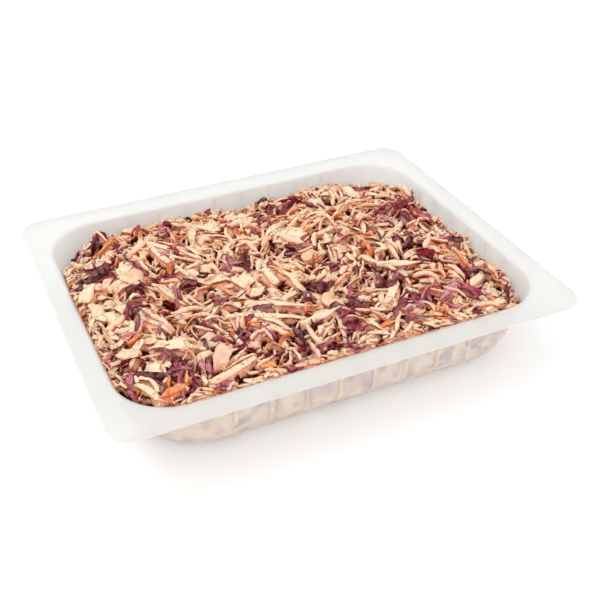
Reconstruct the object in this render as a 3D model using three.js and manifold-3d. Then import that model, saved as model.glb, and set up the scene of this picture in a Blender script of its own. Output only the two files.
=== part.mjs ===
// Coleslaw in a half-size gastronorm deli tray. Millimetres, +Z up.
// The origin is the middle of the tray's underside, and the tray's long sides run along X.
//
// Two meshes: "tray", the thin thermoformed polypropylene tray with its sealing flange and ribbed
// walls, and "coleslaw", the dressed heap that fills it, a lumpy core with the largest shreds fused
// to its top.

import * as THREE from "three";
import { mergeVertices } from "three/addons/utils/BufferGeometryUtils.js";
import Module from "manifold-3d";

const wasm = await Module();
wasm.setup();

// ---------------------------------------------------------------- driving dimensions

const TRAY = {
  length: 325, // half-size gastronorm, 325 x 265
  width: 265,
  height: 50,
  thickness: 1,
  flangeCorner: 16,
  mouthLength: 296, // between the end walls, just under the rim
  mouthWidth: 228,
  mouthCorner: 37,
  rimRadius: 2.5, // roll from the flange down into the wall
  endDraft: 0.28, // how far a wall leans in for each millimetre down
  sideDraft: 0.06,
  baseRadius: 19, // roll from the wall into the floor, inside
  baseCorner: 45,
};
const RIBS = { pitch: 23.8, sideCount: 8, endCount: 6, width: 4.2, depth: 1.3 };
const CORNER_STEPS = 5;
const FILLET_STEPS = 3;
const RIM_STEPS = 1;
const MERGE = 1e-3; // vertices closer than this are one

// How the heap stands in the tray: level with the rim in front, falling to the back and to the right.
const HEAP = {
  crown: 1.5, // the broad top, measured from the flange
  fallPower: 1.6,
  lump: 1.5, // height of the broad lumps
  lumpLength: 46,
  gap: 0.35, // clear of the tray all round
  bedDepth: 3.2, // the bare core lies this far below the finished surface
  relief: 1.2, // small bumps on the core
  gridPitch: 12,
  seed: 20,
};
const FALLS = [
  { axis: "y", sign: 1, from: 45, to: 114, drop: 20 }, // back
  { axis: "x", sign: 1, from: 80, to: 147, drop: 13 }, // right end
  { axis: "x", sign: -1, from: 95, to: 147, drop: 6 }, // left end
  { axis: "y", sign: -1, from: 70, to: 114, drop: 4 }, // front
];

// The shreds that show most, in the order they are laid. Sizes are [least, most].
const SHREDS = {
  whiteLeaf: { count: 16, length: [15, 24], width: [9, 13], thickness: 1.5, steps: 3, arch: [2, 3] },
  white: { count: 40, length: [24, 40], width: [3.8, 6], thickness: 1.8, steps: 4, arch: [2, 4] },
  red: { count: 33, length: [22, 38], width: [3.4, 5.2], thickness: 1.5, steps: 4, arch: [2.2, 4.4] },
  carrot: { count: 24, length: [18, 30], width: [2.6, 3.4], thickness: 2.2, steps: 3, arch: [2, 3.6] },
};
const SHRED = {
  sink: 2, // the ends go this far into the core
  archPower: 0.55, // under 1, the middle runs level and the ends dip
  bend: 0.035, // most turn of the centreline for each millimetre
  roll: 0.5, // most tilt of the flat side, radians
  endTaper: 0.55,
  wallMargin: 0.8,
  tries: 14,
};

// ---------------------------------------------------------------- helpers

// A small seeded generator, so that the heap is the same every time.
function seededRandom(seed) {
  let state = seed >>> 0;
  return () => {
    state = (state + 0x6d2b79f5) >>> 0;
    let t = state;
    t = Math.imul(t ^ (t >>> 15), t | 1);
    t ^= t + Math.imul(t ^ (t >>> 7), t | 61);
    return ((t ^ (t >>> 14)) >>> 0) / 4294967296;
  };
}
const random = seededRandom(HEAP.seed);
const between = ([low, high]) => low + (high - low) * random();
const spread = (most) => most * (2 * random() - 1);

// A closed indexed surface from a list of vertices and a list of triangles.
function surface(vertices, triangles) {
  const geometry = new THREE.BufferGeometry();
  geometry.setFromPoints(vertices);
  geometry.setIndex(triangles);
  return geometry;
}

function toManifold(geometry) {
  const bare = geometry.clone();
  bare.deleteAttribute("normal");
  bare.deleteAttribute("uv");
  const merged = mergeVertices(bare, MERGE);
  return new wasm.Manifold(
    new wasm.Mesh({
      numProp: 3,
      vertProperties: new Float32Array(merged.attributes.position.array),
      triVerts: new Uint32Array(merged.index.array),
    }),
  );
}

function fromManifold(solid) {
  const mesh = solid.getMesh();
  const geometry = new THREE.BufferGeometry();
  geometry.setAttribute("position", new THREE.BufferAttribute(new Float32Array(mesh.vertProperties), 3));
  geometry.setIndex(new THREE.BufferAttribute(new Uint32Array(mesh.triVerts), 1));
  geometry.computeVertexNormals();
  return geometry;
}

// The largest body of a solid, without loose scraps and without its sealed hollows, each of which is a
// body of its own with a negative volume. Merging close vertices can pinch off one more, so this repeats.
function outerSkin(solid) {
  const bodies = toManifold(fromManifold(solid)).decompose();
  if (bodies.length === 1) return bodies[0];
  return outerSkin(bodies.reduce((a, b) => (a.volume() > b.volume() ? a : b)));
}

// ---------------------------------------------------------------- tray

// One level of the tray as a ring of points, anticlockwise from above: a rounded rectangle whose
// straight sides carry the ribs. All of a loft's rings have the same number of points.
function ring({ halfLength, halfWidth, corner, z, rib = 0, ribbed = true }) {
  const points = [];
  for (let side = 0; side < 4; side++) {
    const isEnd = side % 2 === 0;
    const out = isEnd ? halfLength : halfWidth;
    const half = isEnd ? halfWidth : halfLength;
    const turn = (side * Math.PI) / 2;
    const place = (outward, along) => {
      const point = new THREE.Vector3(outward, along, z);
      points.push(point.applyAxisAngle(new THREE.Vector3(0, 0, 1), turn));
    };
    const count = isEnd ? RIBS.endCount : RIBS.sideCount;
    for (let i = 0; ribbed && i < count; i++) {
      const middle = (i - (count - 1) / 2) * RIBS.pitch;
      place(out, middle - RIBS.width / 2);
      place(out + rib, middle);
      place(out, middle + RIBS.width / 2);
    }
    for (let i = 0; i <= CORNER_STEPS; i++) {
      const a = (i / CORNER_STEPS) * (Math.PI / 2);
      place(out - corner + corner * Math.cos(a), half - corner + corner * Math.sin(a));
    }
  }
  return points;
}

// Stitches rings into a closed surface, with a flat fan over the first and the last.
function loft(rings) {
  const vertices = rings.flat();
  const triangles = [];
  const n = rings[0].length;
  for (let j = 0; j + 1 < rings.length; j++) {
    for (let i = 0; i < n; i++) {
      const a = j * n + i;
      const b = j * n + ((i + 1) % n);
      triangles.push(a, b, b + n, a, b + n, a + n);
    }
  }
  const middleOf = (points) => new THREE.Vector3(0, 0, points[0].z);
  const start = vertices.push(middleOf(rings[0])) - 1;
  const end = vertices.push(middleOf(rings[rings.length - 1])) - 1;
  const last = (rings.length - 1) * n;
  for (let i = 0; i < n; i++) {
    const next = (i + 1) % n;
    triangles.push(start, next, i, end, last + i, last + next);
  }
  return surface(vertices, triangles);
}

// The wall at a depth below the flange, for the inside face moved outward by offset and inward by inset.
function wallLevel(depth, offset, inset, rib) {
  const share = Math.min(1, depth / (TRAY.height - TRAY.thickness - TRAY.baseRadius));
  const corner = TRAY.mouthCorner + (TRAY.baseCorner - TRAY.mouthCorner) * share;
  return {
    halfLength: TRAY.mouthLength / 2 + offset - TRAY.endDraft * depth - inset,
    halfWidth: TRAY.mouthWidth / 2 + offset - TRAY.sideDraft * depth - inset,
    corner: corner + offset - inset,
    z: TRAY.height - depth,
    rib,
  };
}

// One face's levels from the flange down to the floor: the rim's roll, the ribbed wall, the base's roll.
function faceLevels(offset) {
  const levels = [];
  for (let i = 0; i <= RIM_STEPS; i++) {
    const a = (i / RIM_STEPS) * (Math.PI / 2);
    const radius = TRAY.rimRadius - offset;
    const depth = TRAY.rimRadius - radius * Math.cos(a);
    const outward = TRAY.rimRadius - radius * Math.sin(a) - offset;
    levels.push(wallLevel(depth, offset, -outward, i === RIM_STEPS ? RIBS.depth : 0));
  }
  const radius = TRAY.baseRadius + offset;
  const start = TRAY.height - TRAY.thickness - TRAY.baseRadius;
  for (let i = 0; i <= FILLET_STEPS; i++) {
    const a = (i / FILLET_STEPS) * (Math.PI / 2);
    const depth = start + radius * Math.sin(a);
    levels.push(wallLevel(depth, offset, radius * (1 - Math.cos(a)), i === 0 ? RIBS.depth : 0));
  }
  return levels;
}

function flangeLevel(z) {
  return { halfLength: TRAY.length / 2, halfWidth: TRAY.width / 2, corner: TRAY.flangeCorner, z };
}

function trayGeometry() {
  const outside = faceLevels(TRAY.thickness).reverse();
  const flange = [flangeLevel(TRAY.height - TRAY.thickness), flangeLevel(TRAY.height)];
  const inside = faceLevels(0);
  return loft([...outside, ...flange, ...inside].map(ring));
}

// ---------------------------------------------------------------- heap

// Height of the finished surface of the heap above the table.
function heapHeight(x, y) {
  let z = TRAY.height + HEAP.crown;
  for (const fall of FALLS) {
    const across = fall.sign * (fall.axis === "x" ? x : y);
    const share = THREE.MathUtils.clamp((across - fall.from) / (fall.to - fall.from), 0, 1);
    z -= fall.drop * Math.pow(share, HEAP.fallPower);
  }
  const k = (2 * Math.PI) / HEAP.lumpLength;
  const broad = Math.sin(k * x + 1.3) * Math.cos(0.8 * k * y + 0.4);
  const cross = Math.sin(0.55 * k * (x + y) + 2.1) * Math.cos(0.7 * k * (x - y));
  return z + HEAP.lump * (0.6 * broad + 0.5 * cross);
}

const bedHeight = (x, y) => heapHeight(x, y) - HEAP.bedDepth;

// The inside of the tray less the gap, from the floor to well above the rim.
function cavity(headroom) {
  const levels = faceLevels(0)
    .slice(RIM_STEPS)
    .reverse()
    .map((level) => ({
      ...level,
      halfLength: level.halfLength - HEAP.gap,
      halfWidth: level.halfWidth - HEAP.gap,
      corner: level.corner - HEAP.gap,
      z: level.z + HEAP.gap,
    }));
  const rim = levels[levels.length - 1];
  levels.push({ ...rim, z: TRAY.height + headroom });
  return toManifold(loft(levels.map((level) => ring({ ...level, ribbed: false }))));
}

// A block with a bumpy top that stands under the whole mouth of the tray.
function bed() {
  const pitch = HEAP.gridPitch;
  const columns = Math.ceil(TRAY.mouthLength / pitch) + 2;
  const rows = Math.ceil(TRAY.mouthWidth / pitch) + 2;
  const block = new THREE.BoxGeometry(columns * pitch, rows * pitch, TRAY.height, columns, rows, 1);
  block.translate(0, 0, TRAY.height / 2);
  const position = block.getAttribute("position");
  const bumps = new Map();
  for (let i = 0; i < position.count; i++) {
    const x = position.getX(i);
    const y = position.getY(i);
    if (position.getZ(i) < TRAY.height / 2) continue;
    const key = `${Math.round(x)},${Math.round(y)}`;
    if (!bumps.has(key)) bumps.set(key, spread(HEAP.relief));
    position.setZ(i, bedHeight(x, y) + bumps.get(key));
  }
  return toManifold(block);
}

// How far a point lies inside the tray's wall, negative outside.
function wallClearance(x, y, z) {
  const level = wallLevel(Math.max(0, TRAY.height - z), 0, 0, 0);
  const dx = Math.abs(x) - (level.halfLength - level.corner);
  const dy = Math.abs(y) - (level.halfWidth - level.corner);
  const outside = Math.hypot(Math.max(dx, 0), Math.max(dy, 0));
  return level.corner - (outside + Math.min(Math.max(dx, dy), 0));
}

// The centreline of one shred: a bent line over the bed that arches up between its sunken ends.
function centreline(shred, x, y) {
  const length = between(shred.length);
  const turn = spread(SHRED.bend) * length;
  const arch = between(shred.arch);
  const step = length / shred.steps;
  let yaw = random() * 2 * Math.PI;
  let point = new THREE.Vector2(x - (Math.cos(yaw) * length) / 2, y - (Math.sin(yaw) * length) / 2);
  const points = [];
  for (let i = 0; i <= shred.steps; i++) {
    const t = i / shred.steps;
    const rise = Math.pow(Math.abs(Math.sin(Math.PI * t)), SHRED.archPower);
    const z = bedHeight(point.x, point.y) - SHRED.sink + (SHRED.sink + arch) * rise;
    points.push(new THREE.Vector3(point.x, point.y, z));
    yaw += turn / shred.steps;
    point = new THREE.Vector2(point.x + step * Math.cos(yaw), point.y + step * Math.sin(yaw));
  }
  return points;
}

// A flat strip along a centreline: four corners at each step, tapered to its ends and rolled to one side.
const CORNERS = [[1, 1], [-1, 1], [-1, -1], [1, -1]];
function strip(points, width, thickness) {
  const roll = spread(SHRED.roll);
  const vertices = [];
  const triangles = [];
  points.forEach((point, i) => {
    const before = points[Math.max(0, i - 1)];
    const after = points[Math.min(points.length - 1, i + 1)];
    const along = after.clone().sub(before).normalize();
    const side = new THREE.Vector3(0, 0, 1).cross(along).normalize();
    const across = side.applyAxisAngle(along, roll);
    const up = along.clone().cross(across).normalize();
    const t = i / (points.length - 1);
    const taper = SHRED.endTaper + (1 - SHRED.endTaper) * Math.sqrt(Math.abs(Math.sin(Math.PI * t)));
    for (const [a, b] of CORNERS) {
      const corner = point.clone();
      corner.addScaledVector(across, (a * width * taper) / 2);
      corner.addScaledVector(up, (b * thickness) / 2);
      vertices.push(corner);
    }
  });
  for (let i = 0; i + 1 < points.length; i++) {
    for (let k = 0; k < 4; k++) {
      const a = 4 * i + k;
      const b = 4 * i + ((k + 1) % 4);
      triangles.push(a, b, b + 4, a, b + 4, a + 4);
    }
  }
  const last = 4 * (points.length - 1);
  triangles.push(0, 2, 1, 0, 3, 2, last, last + 1, last + 2, last, last + 2, last + 3);
  return toManifold(surface(vertices, triangles));
}

// Halton sequence, which spreads places evenly however many are drawn.
function halton(index, base) {
  let share = 0;
  let step = 1 / base;
  for (let i = index; i > 0; i = Math.floor(i / base)) {
    share += step * (i % base);
    step /= base;
  }
  return share;
}

// All the shreds of every kind, each moved or turned until it is clear of the tray, or else left out.
function shreds() {
  const made = [];
  let place = 1;
  for (const shred of Object.values(SHREDS)) {
    for (let i = 0; i < shred.count; i++, place++) {
      const width = between(shred.width);
      const x = (halton(place, 2) - 0.5) * TRAY.mouthLength;
      const y = (halton(place, 3) - 0.5) * TRAY.mouthWidth;
      for (let attempt = 0; attempt < SHRED.tries; attempt++) {
        const pull = 1 - (0.25 * attempt) / SHRED.tries;
        const points = centreline(shred, x * pull, y * pull);
        const clear = points.every((p) => wallClearance(p.x, p.y, p.z) > width / 2 + SHRED.wallMargin);
        if (!clear) continue;
        made.push(strip(points, width, shred.thickness));
        break;
      }
    }
  }
  return made;
}

function coleslawGeometry() {
  const core = cavity(0).intersect(bed());
  const heap = wasm.Manifold.union([core, ...shreds()]).intersect(cavity(20));
  return fromManifold(outerSkin(heap));
}

// ---------------------------------------------------------------- assembly

const polypropylene = new THREE.MeshStandardMaterial({
  color: 0xf1f1ef,
  roughness: 0.35,
  metalness: 0,
  transparent: true,
  opacity: 0.6,
});
const dressedSlaw = new THREE.MeshStandardMaterial({ color: 0xdba98a, roughness: 0.45, metalness: 0 });

function named(name, geometry, material) {
  const mesh = new THREE.Mesh(geometry, material);
  mesh.name = name;
  return mesh;
}

const part = new THREE.Group();
part.add(named("tray", trayGeometry(), polypropylene));
part.add(named("coleslaw", coleslawGeometry(), dressedSlaw));

export default part;
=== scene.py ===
# %% [markdown]
# # Coleslaw in a half-size gastronorm tray
#
# The object is a deli counter's tray of coleslaw: a thin, milky polypropylene tray, and in it a heap of
# white cabbage, red cabbage and carrot shreds, wet with a creamy dressing and speckled with dill. The
# measured model gives the tray and the heap as two plain solids. This lesson lays the real shreds one
# by one, moulds the tray smoothly, and gives every piece the finish of the real material.

# %% Load the measured frame
import math

import bpy
import numpy as np
from mathutils import Matrix, Vector


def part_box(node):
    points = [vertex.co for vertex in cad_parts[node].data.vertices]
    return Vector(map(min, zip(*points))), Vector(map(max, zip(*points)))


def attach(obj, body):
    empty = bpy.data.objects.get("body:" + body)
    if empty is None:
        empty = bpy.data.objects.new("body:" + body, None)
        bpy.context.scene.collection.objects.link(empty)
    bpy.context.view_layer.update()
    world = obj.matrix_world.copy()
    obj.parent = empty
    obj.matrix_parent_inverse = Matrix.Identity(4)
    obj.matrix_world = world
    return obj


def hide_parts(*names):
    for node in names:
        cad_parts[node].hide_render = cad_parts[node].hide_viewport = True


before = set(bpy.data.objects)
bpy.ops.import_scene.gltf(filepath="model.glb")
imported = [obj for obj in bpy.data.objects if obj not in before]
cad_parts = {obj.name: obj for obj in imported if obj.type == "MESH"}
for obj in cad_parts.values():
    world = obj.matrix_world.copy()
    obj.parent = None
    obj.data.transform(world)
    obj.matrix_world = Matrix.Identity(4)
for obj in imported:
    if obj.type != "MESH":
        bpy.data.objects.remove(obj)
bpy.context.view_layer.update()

tray_low, tray_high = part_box("tray")
heap_low, heap_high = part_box("coleslaw")
print("measured heap:", heap_low, heap_high)

# %% [markdown]
# ## Units and chance
#
# A cook thinks of a shred in millimetres and Blender thinks in metres, so every size below is in
# millimetres and is turned to metres once, when a mesh is made. All chance comes from one seeded
# generator, so the heap is the same heap each time.

# %% Units and chance
MM = 0.001
chance = np.random.default_rng(42)


def smoothstep(low, high, value):
    share = np.clip((value - low) / (high - low), 0.0, 1.0)
    return share * share * (3.0 - 2.0 * share)


print("a millimetre is", MM, "Blender units")

# %% [markdown]
# ## Colours and shader nodes
#
# Colours are noted as they look on a screen, in sRGB hex, but light is added up in linear values, so
# one function turns one into the other. A material is a small tree of nodes, and one function adds a
# node with its settings and its links, which keeps each recipe to a few lines.

# %% Colours and shader nodes
def linear(hex_colour, alpha=1.0):
    """A screen colour such as "f1e4c8" as the linear values that shaders use."""
    channels = [int(hex_colour[i:i + 2], 16) / 255.0 for i in (0, 2, 4)]
    return [c / 12.92 if c <= 0.04045 else ((c + 0.055) / 1.055) ** 2.4 for c in channels] + [alpha]


def add_node(tree, kind, inputs=None, **settings):
    """Adds one node. An input is a value, or another node's output that is linked to it."""
    node = tree.nodes.new(kind)
    for name, value in settings.items():
        setattr(node, name, value)
    for name, value in (inputs or {}).items():
        if isinstance(value, bpy.types.NodeSocket):
            tree.links.new(value, node.inputs[name])
        else:
            node.inputs[name].default_value = value
    return node


def add_ramp(tree, factor, colours):
    """A colour ramp through hex colours at evenly spaced places."""
    ramp = add_node(tree, "ShaderNodeValToRGB", {"Fac": factor})
    steps = ramp.color_ramp.elements
    steps[0].color, steps[1].color = linear(colours[0]), linear(colours[-1])
    for k, colour in enumerate(colours[1:-1], 1):
        steps.new(k / (len(colours) - 1)).color = linear(colour)
    return ramp.outputs["Color"]


def per_metre(millimetres):
    """The scale at which a texture's pattern repeats about once in so many millimetres."""
    return 1000.0 / millimetres


def new_material(name):
    material = bpy.data.materials.new(name)
    material.use_nodes = True
    tree = material.node_tree
    tree.nodes.clear()
    output = add_node(tree, "ShaderNodeOutputMaterial")
    print("material:", name)
    return material, tree, output


print("middle grey in linear values:", round(linear("808080")[0], 3))

# %% [markdown]
# Four kinds of node turn up in every recipe below, so each has a short name:
# a mix of two colours, a sum or a product, a value stretched from one range to another, and noise.

# %% Short names for common nodes
FIRST, SECOND = 6, 7  # a mix node keeps its two colours in these inputs


def mixed(tree, factor, first, second):
    """The first colour, and the second over it by the factor."""
    node = add_node(tree, "ShaderNodeMix", {"Factor": factor, FIRST: first, SECOND: second},
                    data_type="RGBA")
    return node.outputs[2]


def computed(tree, operation, *values):
    """A sum, a product or another operation on values."""
    return add_node(tree, "ShaderNodeMath", dict(enumerate(values)), operation=operation).outputs[0]


def stretched(tree, value, low, high, to_low=0.0, to_high=1.0):
    """A value stretched from the range low to high, and held at its ends."""
    node = add_node(tree, "ShaderNodeMapRange",
                    {"Value": value, "From Min": low, "From Max": high, "To Min": to_low, "To Max": to_high})
    return node.outputs["Result"]


def noise(tree, place, millimetres, detail=2.0, roughness=0.5):
    """Cloudy noise whose largest patches are so many millimetres wide."""
    return add_node(tree, "ShaderNodeTexNoise", {"Vector": place, "Scale": per_metre(millimetres),
                                                 "Detail": detail, "Roughness": roughness})


print("cream in linear values:", [round(value, 3) for value in linear("ffdabc")])

# %% [markdown]
# ## The tray's walls
#
# The tray is thermoformed: one warm sheet of polypropylene is sucked into a mould, so every edge is a
# roll and the wall has the same thickness all over. It could be a box with bevels, but a stack of
# rounded-rectangle rings, stitched from one to the next, gives the leaning walls, the rolls and the
# pressed ribs in one closed skin, inside and out. The sizes are those of the measured model.

# %% The tray's sizes
TRAY_LENGTH = (tray_high[0] - tray_low[0]) / MM
TRAY_WIDTH = (tray_high[1] - tray_low[1]) / MM
TRAY_HEIGHT = (tray_high[2] - tray_low[2]) / MM
SHEET = 1.0
FLANGE_CORNER = 16.0
MOUTH_LENGTH = 296.0
MOUTH_WIDTH = 228.0
MOUTH_CORNER = 37.0
RIM_ROLL = 2.5
# How far the end walls and the side walls lean in, for each millimetre of depth.
END_DRAFT = 0.28
SIDE_DRAFT = 0.06
BASE_ROLL = 19.0
BASE_CORNER = 45.0
RIB_PITCH = 23.8
RIBS_ON_SIDE = 8
RIBS_ON_END = 6
RIB_WIDTH = 4.2
RIB_DEPTH = 1.3
RIB_TOP = 2.2
print("tray:", TRAY_LENGTH, "x", TRAY_WIDTH, "x", TRAY_HEIGHT, "mm")

# %% One level of the wall
def rib_relief(along, ribs):
    """How far the ribs stand out of a wall, at places along it, as a share of their depth."""
    middle = (ribs - 1) / 2.0
    nearest = np.clip(np.round(along / RIB_PITCH + middle), 0, ribs - 1) - middle
    away = np.abs(along - nearest * RIB_PITCH)
    return smoothstep(RIB_WIDTH / 2, RIB_TOP / 2, away)


def wall_ring(half_length, half_width, corner, z, rib=0.0, across_rib=9, between=0, corner_steps=14):
    """One level of the tray, anticlockwise: four straight sides with their ribs, and four corners."""
    points = []
    for side in range(4):
        is_end = side % 2 == 0
        out, half = (half_length, half_width) if is_end else (half_width, half_length)
        ribs = RIBS_ON_END if is_end else RIBS_ON_SIDE
        middles = (np.arange(ribs) - (ribs - 1) / 2.0) * RIB_PITCH
        steps = np.linspace(-0.5, 0.5, across_rib) * RIB_WIDTH
        flat_from = np.concatenate([[corner - half], middles + RIB_WIDTH / 2])
        flat_to = np.concatenate([middles - RIB_WIDTH / 2, [half - corner]])
        inner = flat_from[:, None] + (flat_to - flat_from)[:, None] * np.linspace(0, 1, between + 2)[1:-1]
        along = np.sort(np.concatenate([(middles[:, None] + steps[None, :]).ravel(), inner.ravel()]))
        outward = out + rib * rib_relief(along, ribs)
        turn = np.linspace(0.0, np.pi / 2, corner_steps)
        outward = np.concatenate([outward, out - corner + corner * np.cos(turn)])
        along = np.concatenate([along, half - corner + corner * np.sin(turn)])
        cos, sin = [(1, 0), (0, 1), (-1, 0), (0, -1)][side]
        points.append(np.stack([cos * outward - sin * along, sin * outward + cos * along], axis=1))
    plan = np.concatenate(points)
    return np.column_stack([plan, np.full(len(plan), z)])


def wall_size(depth, offset=0.0, inset=0.0):
    """Half-length, half-width and corner radius of the wall at a depth below the flange."""
    share = np.minimum(1.0, depth / (TRAY_HEIGHT - SHEET - BASE_ROLL))
    corner = MOUTH_CORNER + (BASE_CORNER - MOUTH_CORNER) * share
    half_length = MOUTH_LENGTH / 2 + offset - END_DRAFT * depth - inset
    half_width = MOUTH_WIDTH / 2 + offset - SIDE_DRAFT * depth - inset
    return half_length, half_width, corner + offset - inset


print("half-length, half-width and corner halfway down:", [round(float(v), 1) for v in wall_size(25.0)])

# %% [markdown]
# One face of the tray is a run of such rings: the roll of the rim, the leaning wall with its ribs
# fading in and out, and the roll into the floor. The outer face is the same run, one sheet further out.

# %% One face of the tray
RIM_STEPS = 5
WALL_STEPS = 6
BASE_STEPS = 9
# The ribs fade out over this much of the turn into the floor, in radians.
RIB_FADE = 0.6


def face_rings(offset, make_ring=wall_ring):
    """The rings of one face from the flange down to the floor."""
    rings = []
    start = TRAY_HEIGHT - SHEET - BASE_ROLL
    for turn in np.linspace(0.0, np.pi / 2, RIM_STEPS):
        roll = RIM_ROLL - offset
        depth = RIM_ROLL - roll * math.cos(turn)
        inset = roll * math.sin(turn) - RIM_ROLL + offset
        rings.append(make_ring(*wall_size(depth, offset, inset), TRAY_HEIGHT - depth))
    for share in np.linspace(0.0, 1.0, WALL_STEPS + 2)[1:-1]:
        depth = RIM_ROLL + (start - RIM_ROLL) * share
        rings.append(make_ring(*wall_size(depth, offset), TRAY_HEIGHT - depth, RIB_DEPTH))
    for turn in np.linspace(0.0, np.pi / 2, BASE_STEPS):
        roll = BASE_ROLL + offset
        depth = start + roll * math.sin(turn)
        inset = roll * (1.0 - math.cos(turn))
        rib = RIB_DEPTH * max(0.0, 1.0 - turn / RIB_FADE)
        rings.append(make_ring(*wall_size(depth, offset, inset), TRAY_HEIGHT - depth, rib))
    return rings


print("one face:", len(face_rings(0.0)), "rings of", len(face_rings(0.0)[0]), "points")

# %% [markdown]
# Every mesh below is made the same way: an array of points, an array of faces, and colour attributes
# that the materials read. Making them as whole arrays is what keeps thousands of shreds quick.

# %% Meshes from arrays
def piece_from(name, points, faces, material, tones=None, crease=0):
    """A smooth-shaded piece that rides on the part. Points are in millimetres, the crease in degrees."""
    mesh = bpy.data.meshes.new(name)
    mesh.from_pydata(points * MM, [], faces)
    mesh.shade_smooth()
    if crease:
        mesh.set_sharp_from_angle(angle=math.radians(crease))
    mesh.materials.append(material)
    if tones is not None:
        layer = mesh.color_attributes.new("shred", "FLOAT_COLOR", "POINT")
        layer.data.foreach_set("color", tones.astype(np.float32).ravel())
    piece = bpy.data.objects.new(name, mesh)
    bpy.context.scene.collection.objects.link(piece)
    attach(piece, "root")
    return piece


def stitched(ring_count, ring_size, close_start=True, close_end=True):
    """Faces that join rings into a tube, with a many-sided face over each end."""
    ring, step = np.meshgrid(np.arange(ring_count - 1), np.arange(ring_size), indexing="ij")
    here = ring * ring_size + step
    beside = ring * ring_size + (step + 1) % ring_size
    faces = np.stack([here, beside, beside + ring_size, here + ring_size], axis=-1).reshape(-1, 4).tolist()
    if close_start:
        faces.append(list(range(ring_size))[::-1])
    if close_end:
        faces.append(list(range((ring_count - 1) * ring_size, ring_count * ring_size)))
    return faces


print("two rings of four points make a box of", len(stitched(2, 4)), "faces")

# %% [markdown]
# ## Natural polypropylene
#
# Polypropylene without pigment is milky: small crystals inside it scatter the light, so a thin wall
# shows what touches it as soft patches and hides what stands away from it. The mould leaves it satin.

# %% Material: natural polypropylene, thermoformed
def natural_polypropylene():
    material, tree, output = new_material("natural polypropylene, thermoformed")
    place = add_node(tree, "ShaderNodeTexCoord").outputs["Object"]
    ripple = noise(tree, place, 14.0)
    bump = add_node(tree, "ShaderNodeBump",
                    {"Height": ripple.outputs["Fac"], "Strength": 0.12, "Distance": 0.6 * MM})
    shader = add_node(tree, "ShaderNodeBsdfPrincipled", {
        "Base Color": linear("e1e1de"), "Roughness": 0.34, "IOR": 1.49, "Alpha": 0.55,
        "Subsurface Weight": 0.6, "Subsurface Radius": (1.0, 1.0, 1.0), "Subsurface Scale": 2.0 * MM,
        "Normal": bump.outputs["Normal"]})
    tree.links.new(shader.outputs["BSDF"], output.inputs["Surface"])
    return material

# %% The tray
# How far the flange's cut edge is rounded.
FLANGE_EDGE = 0.35


def mould_tray():
    top, edge = TRAY_HEIGHT, FLANGE_EDGE
    half_length, half_width = TRAY_LENGTH / 2, TRAY_WIDTH / 2
    flange = []
    for inset, z in [(edge, top - SHEET), (0.0, top - SHEET + edge), (0.0, top - edge), (edge, top)]:
        flange.append(wall_ring(half_length - inset, half_width - inset, FLANGE_CORNER - inset, z))
    rings = face_rings(SHEET)[::-1] + flange + face_rings(0.0)
    faces = stitched(len(rings), len(rings[0]))
    tray = piece_from("deli_tray", np.concatenate(rings), faces, natural_polypropylene())
    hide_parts("tray")
    print("tray:", len(rings), "rings,", len(faces), "faces")


mould_tray()

# %% [markdown]
# ## The shape of the heap
#
# The heap was filled level with the rim and then slumped: it stands full at the front, falls away to
# the back wall and to the right end, and rolls in broad lumps. One height function says where its
# finished surface is, and everything that is laid aims for it.

# %% The shape of the heap
CROWN = 1.5
FALL_POWER = 1.6
LUMP = 1.5
LUMP_LENGTH = 46.0
# Each fall: axis, direction, where it starts, where it ends at the wall, how far it drops.
FALLS = [
    (1, 1, 45.0, 114.0, 20.0),
    (0, 1, 80.0, 147.0, 13.0),
    (0, -1, 95.0, 147.0, 6.0),
    (1, -1, 70.0, 114.0, 4.0),
]


def heap_height(x, y):
    """Height of the finished surface above the table."""
    z = np.full(np.shape(x), TRAY_HEIGHT + CROWN)
    for axis, sign, start, end, drop in FALLS:
        across = sign * (y if axis else x)
        z = z - drop * np.clip((across - start) / (end - start), 0.0, 1.0) ** FALL_POWER
    # Two waves of unlike lengths and directions, so that the lumps don't line up.
    k = 2 * np.pi / LUMP_LENGTH
    broad = np.sin(k * x + 1.3) * np.cos(0.8 * k * y + 0.4)
    cross = np.sin(0.55 * k * (x + y) + 2.1) * np.cos(0.7 * k * (x - y))
    return z + LUMP * (0.6 * broad + 0.5 * cross)


def wall_clearance(x, y, z):
    """How far a place is inside the tray's wall, in millimetres."""
    half_length, half_width, corner = wall_size(np.maximum(0.0, TRAY_HEIGHT - z))
    dx = np.abs(x) - (half_length - corner)
    dy = np.abs(y) - (half_width - corner)
    outside = np.hypot(np.maximum(dx, 0.0), np.maximum(dy, 0.0))
    return corner - (outside + np.minimum(np.maximum(dx, dy), 0.0))


class Speckle:
    """Smooth chance over a plane: a lattice of random values, blended between its points."""

    POINTS = 64

    def __init__(self, size):
        self.size = size
        self.values = chance.random((self.POINTS, self.POINTS))

    def row(self, i, j, s):
        here, ahead = i % self.POINTS, (i + 1) % self.POINTS
        return self.values[here, j % self.POINTS] * (1 - s) + self.values[ahead, j % self.POINTS] * s

    def at(self, x, y):
        u, v = np.asarray(x) / self.size, np.asarray(y) / self.size
        i, j = np.floor(u).astype(int), np.floor(v).astype(int)
        s, t = smoothstep(0, 1, u - i), smoothstep(0, 1, v - j)
        return self.row(i, j, s) * (1 - t) + self.row(i, j + 1, s) * t


print("height in the middle of the tray:", round(float(heap_height(0.0, 0.0)), 1), "mm")

# %% The finished surface
HILLOCK = 5.0
HILLOCK_LOST_AT_WALL = 0.6
hillocks = Speckle(19.0)
# Along the near wall and the left wall the heap stands a little over the flange.
RIM_RISE = 0.8
RIM_BAND = (16.0, 3.0)
NEAR_WALL_FROM = (-75.0, -105.0)
LEFT_WALL_FROM = (-100.0, -135.0)
LEFT_WALL_ENDS = (100.0, 60.0)
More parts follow.
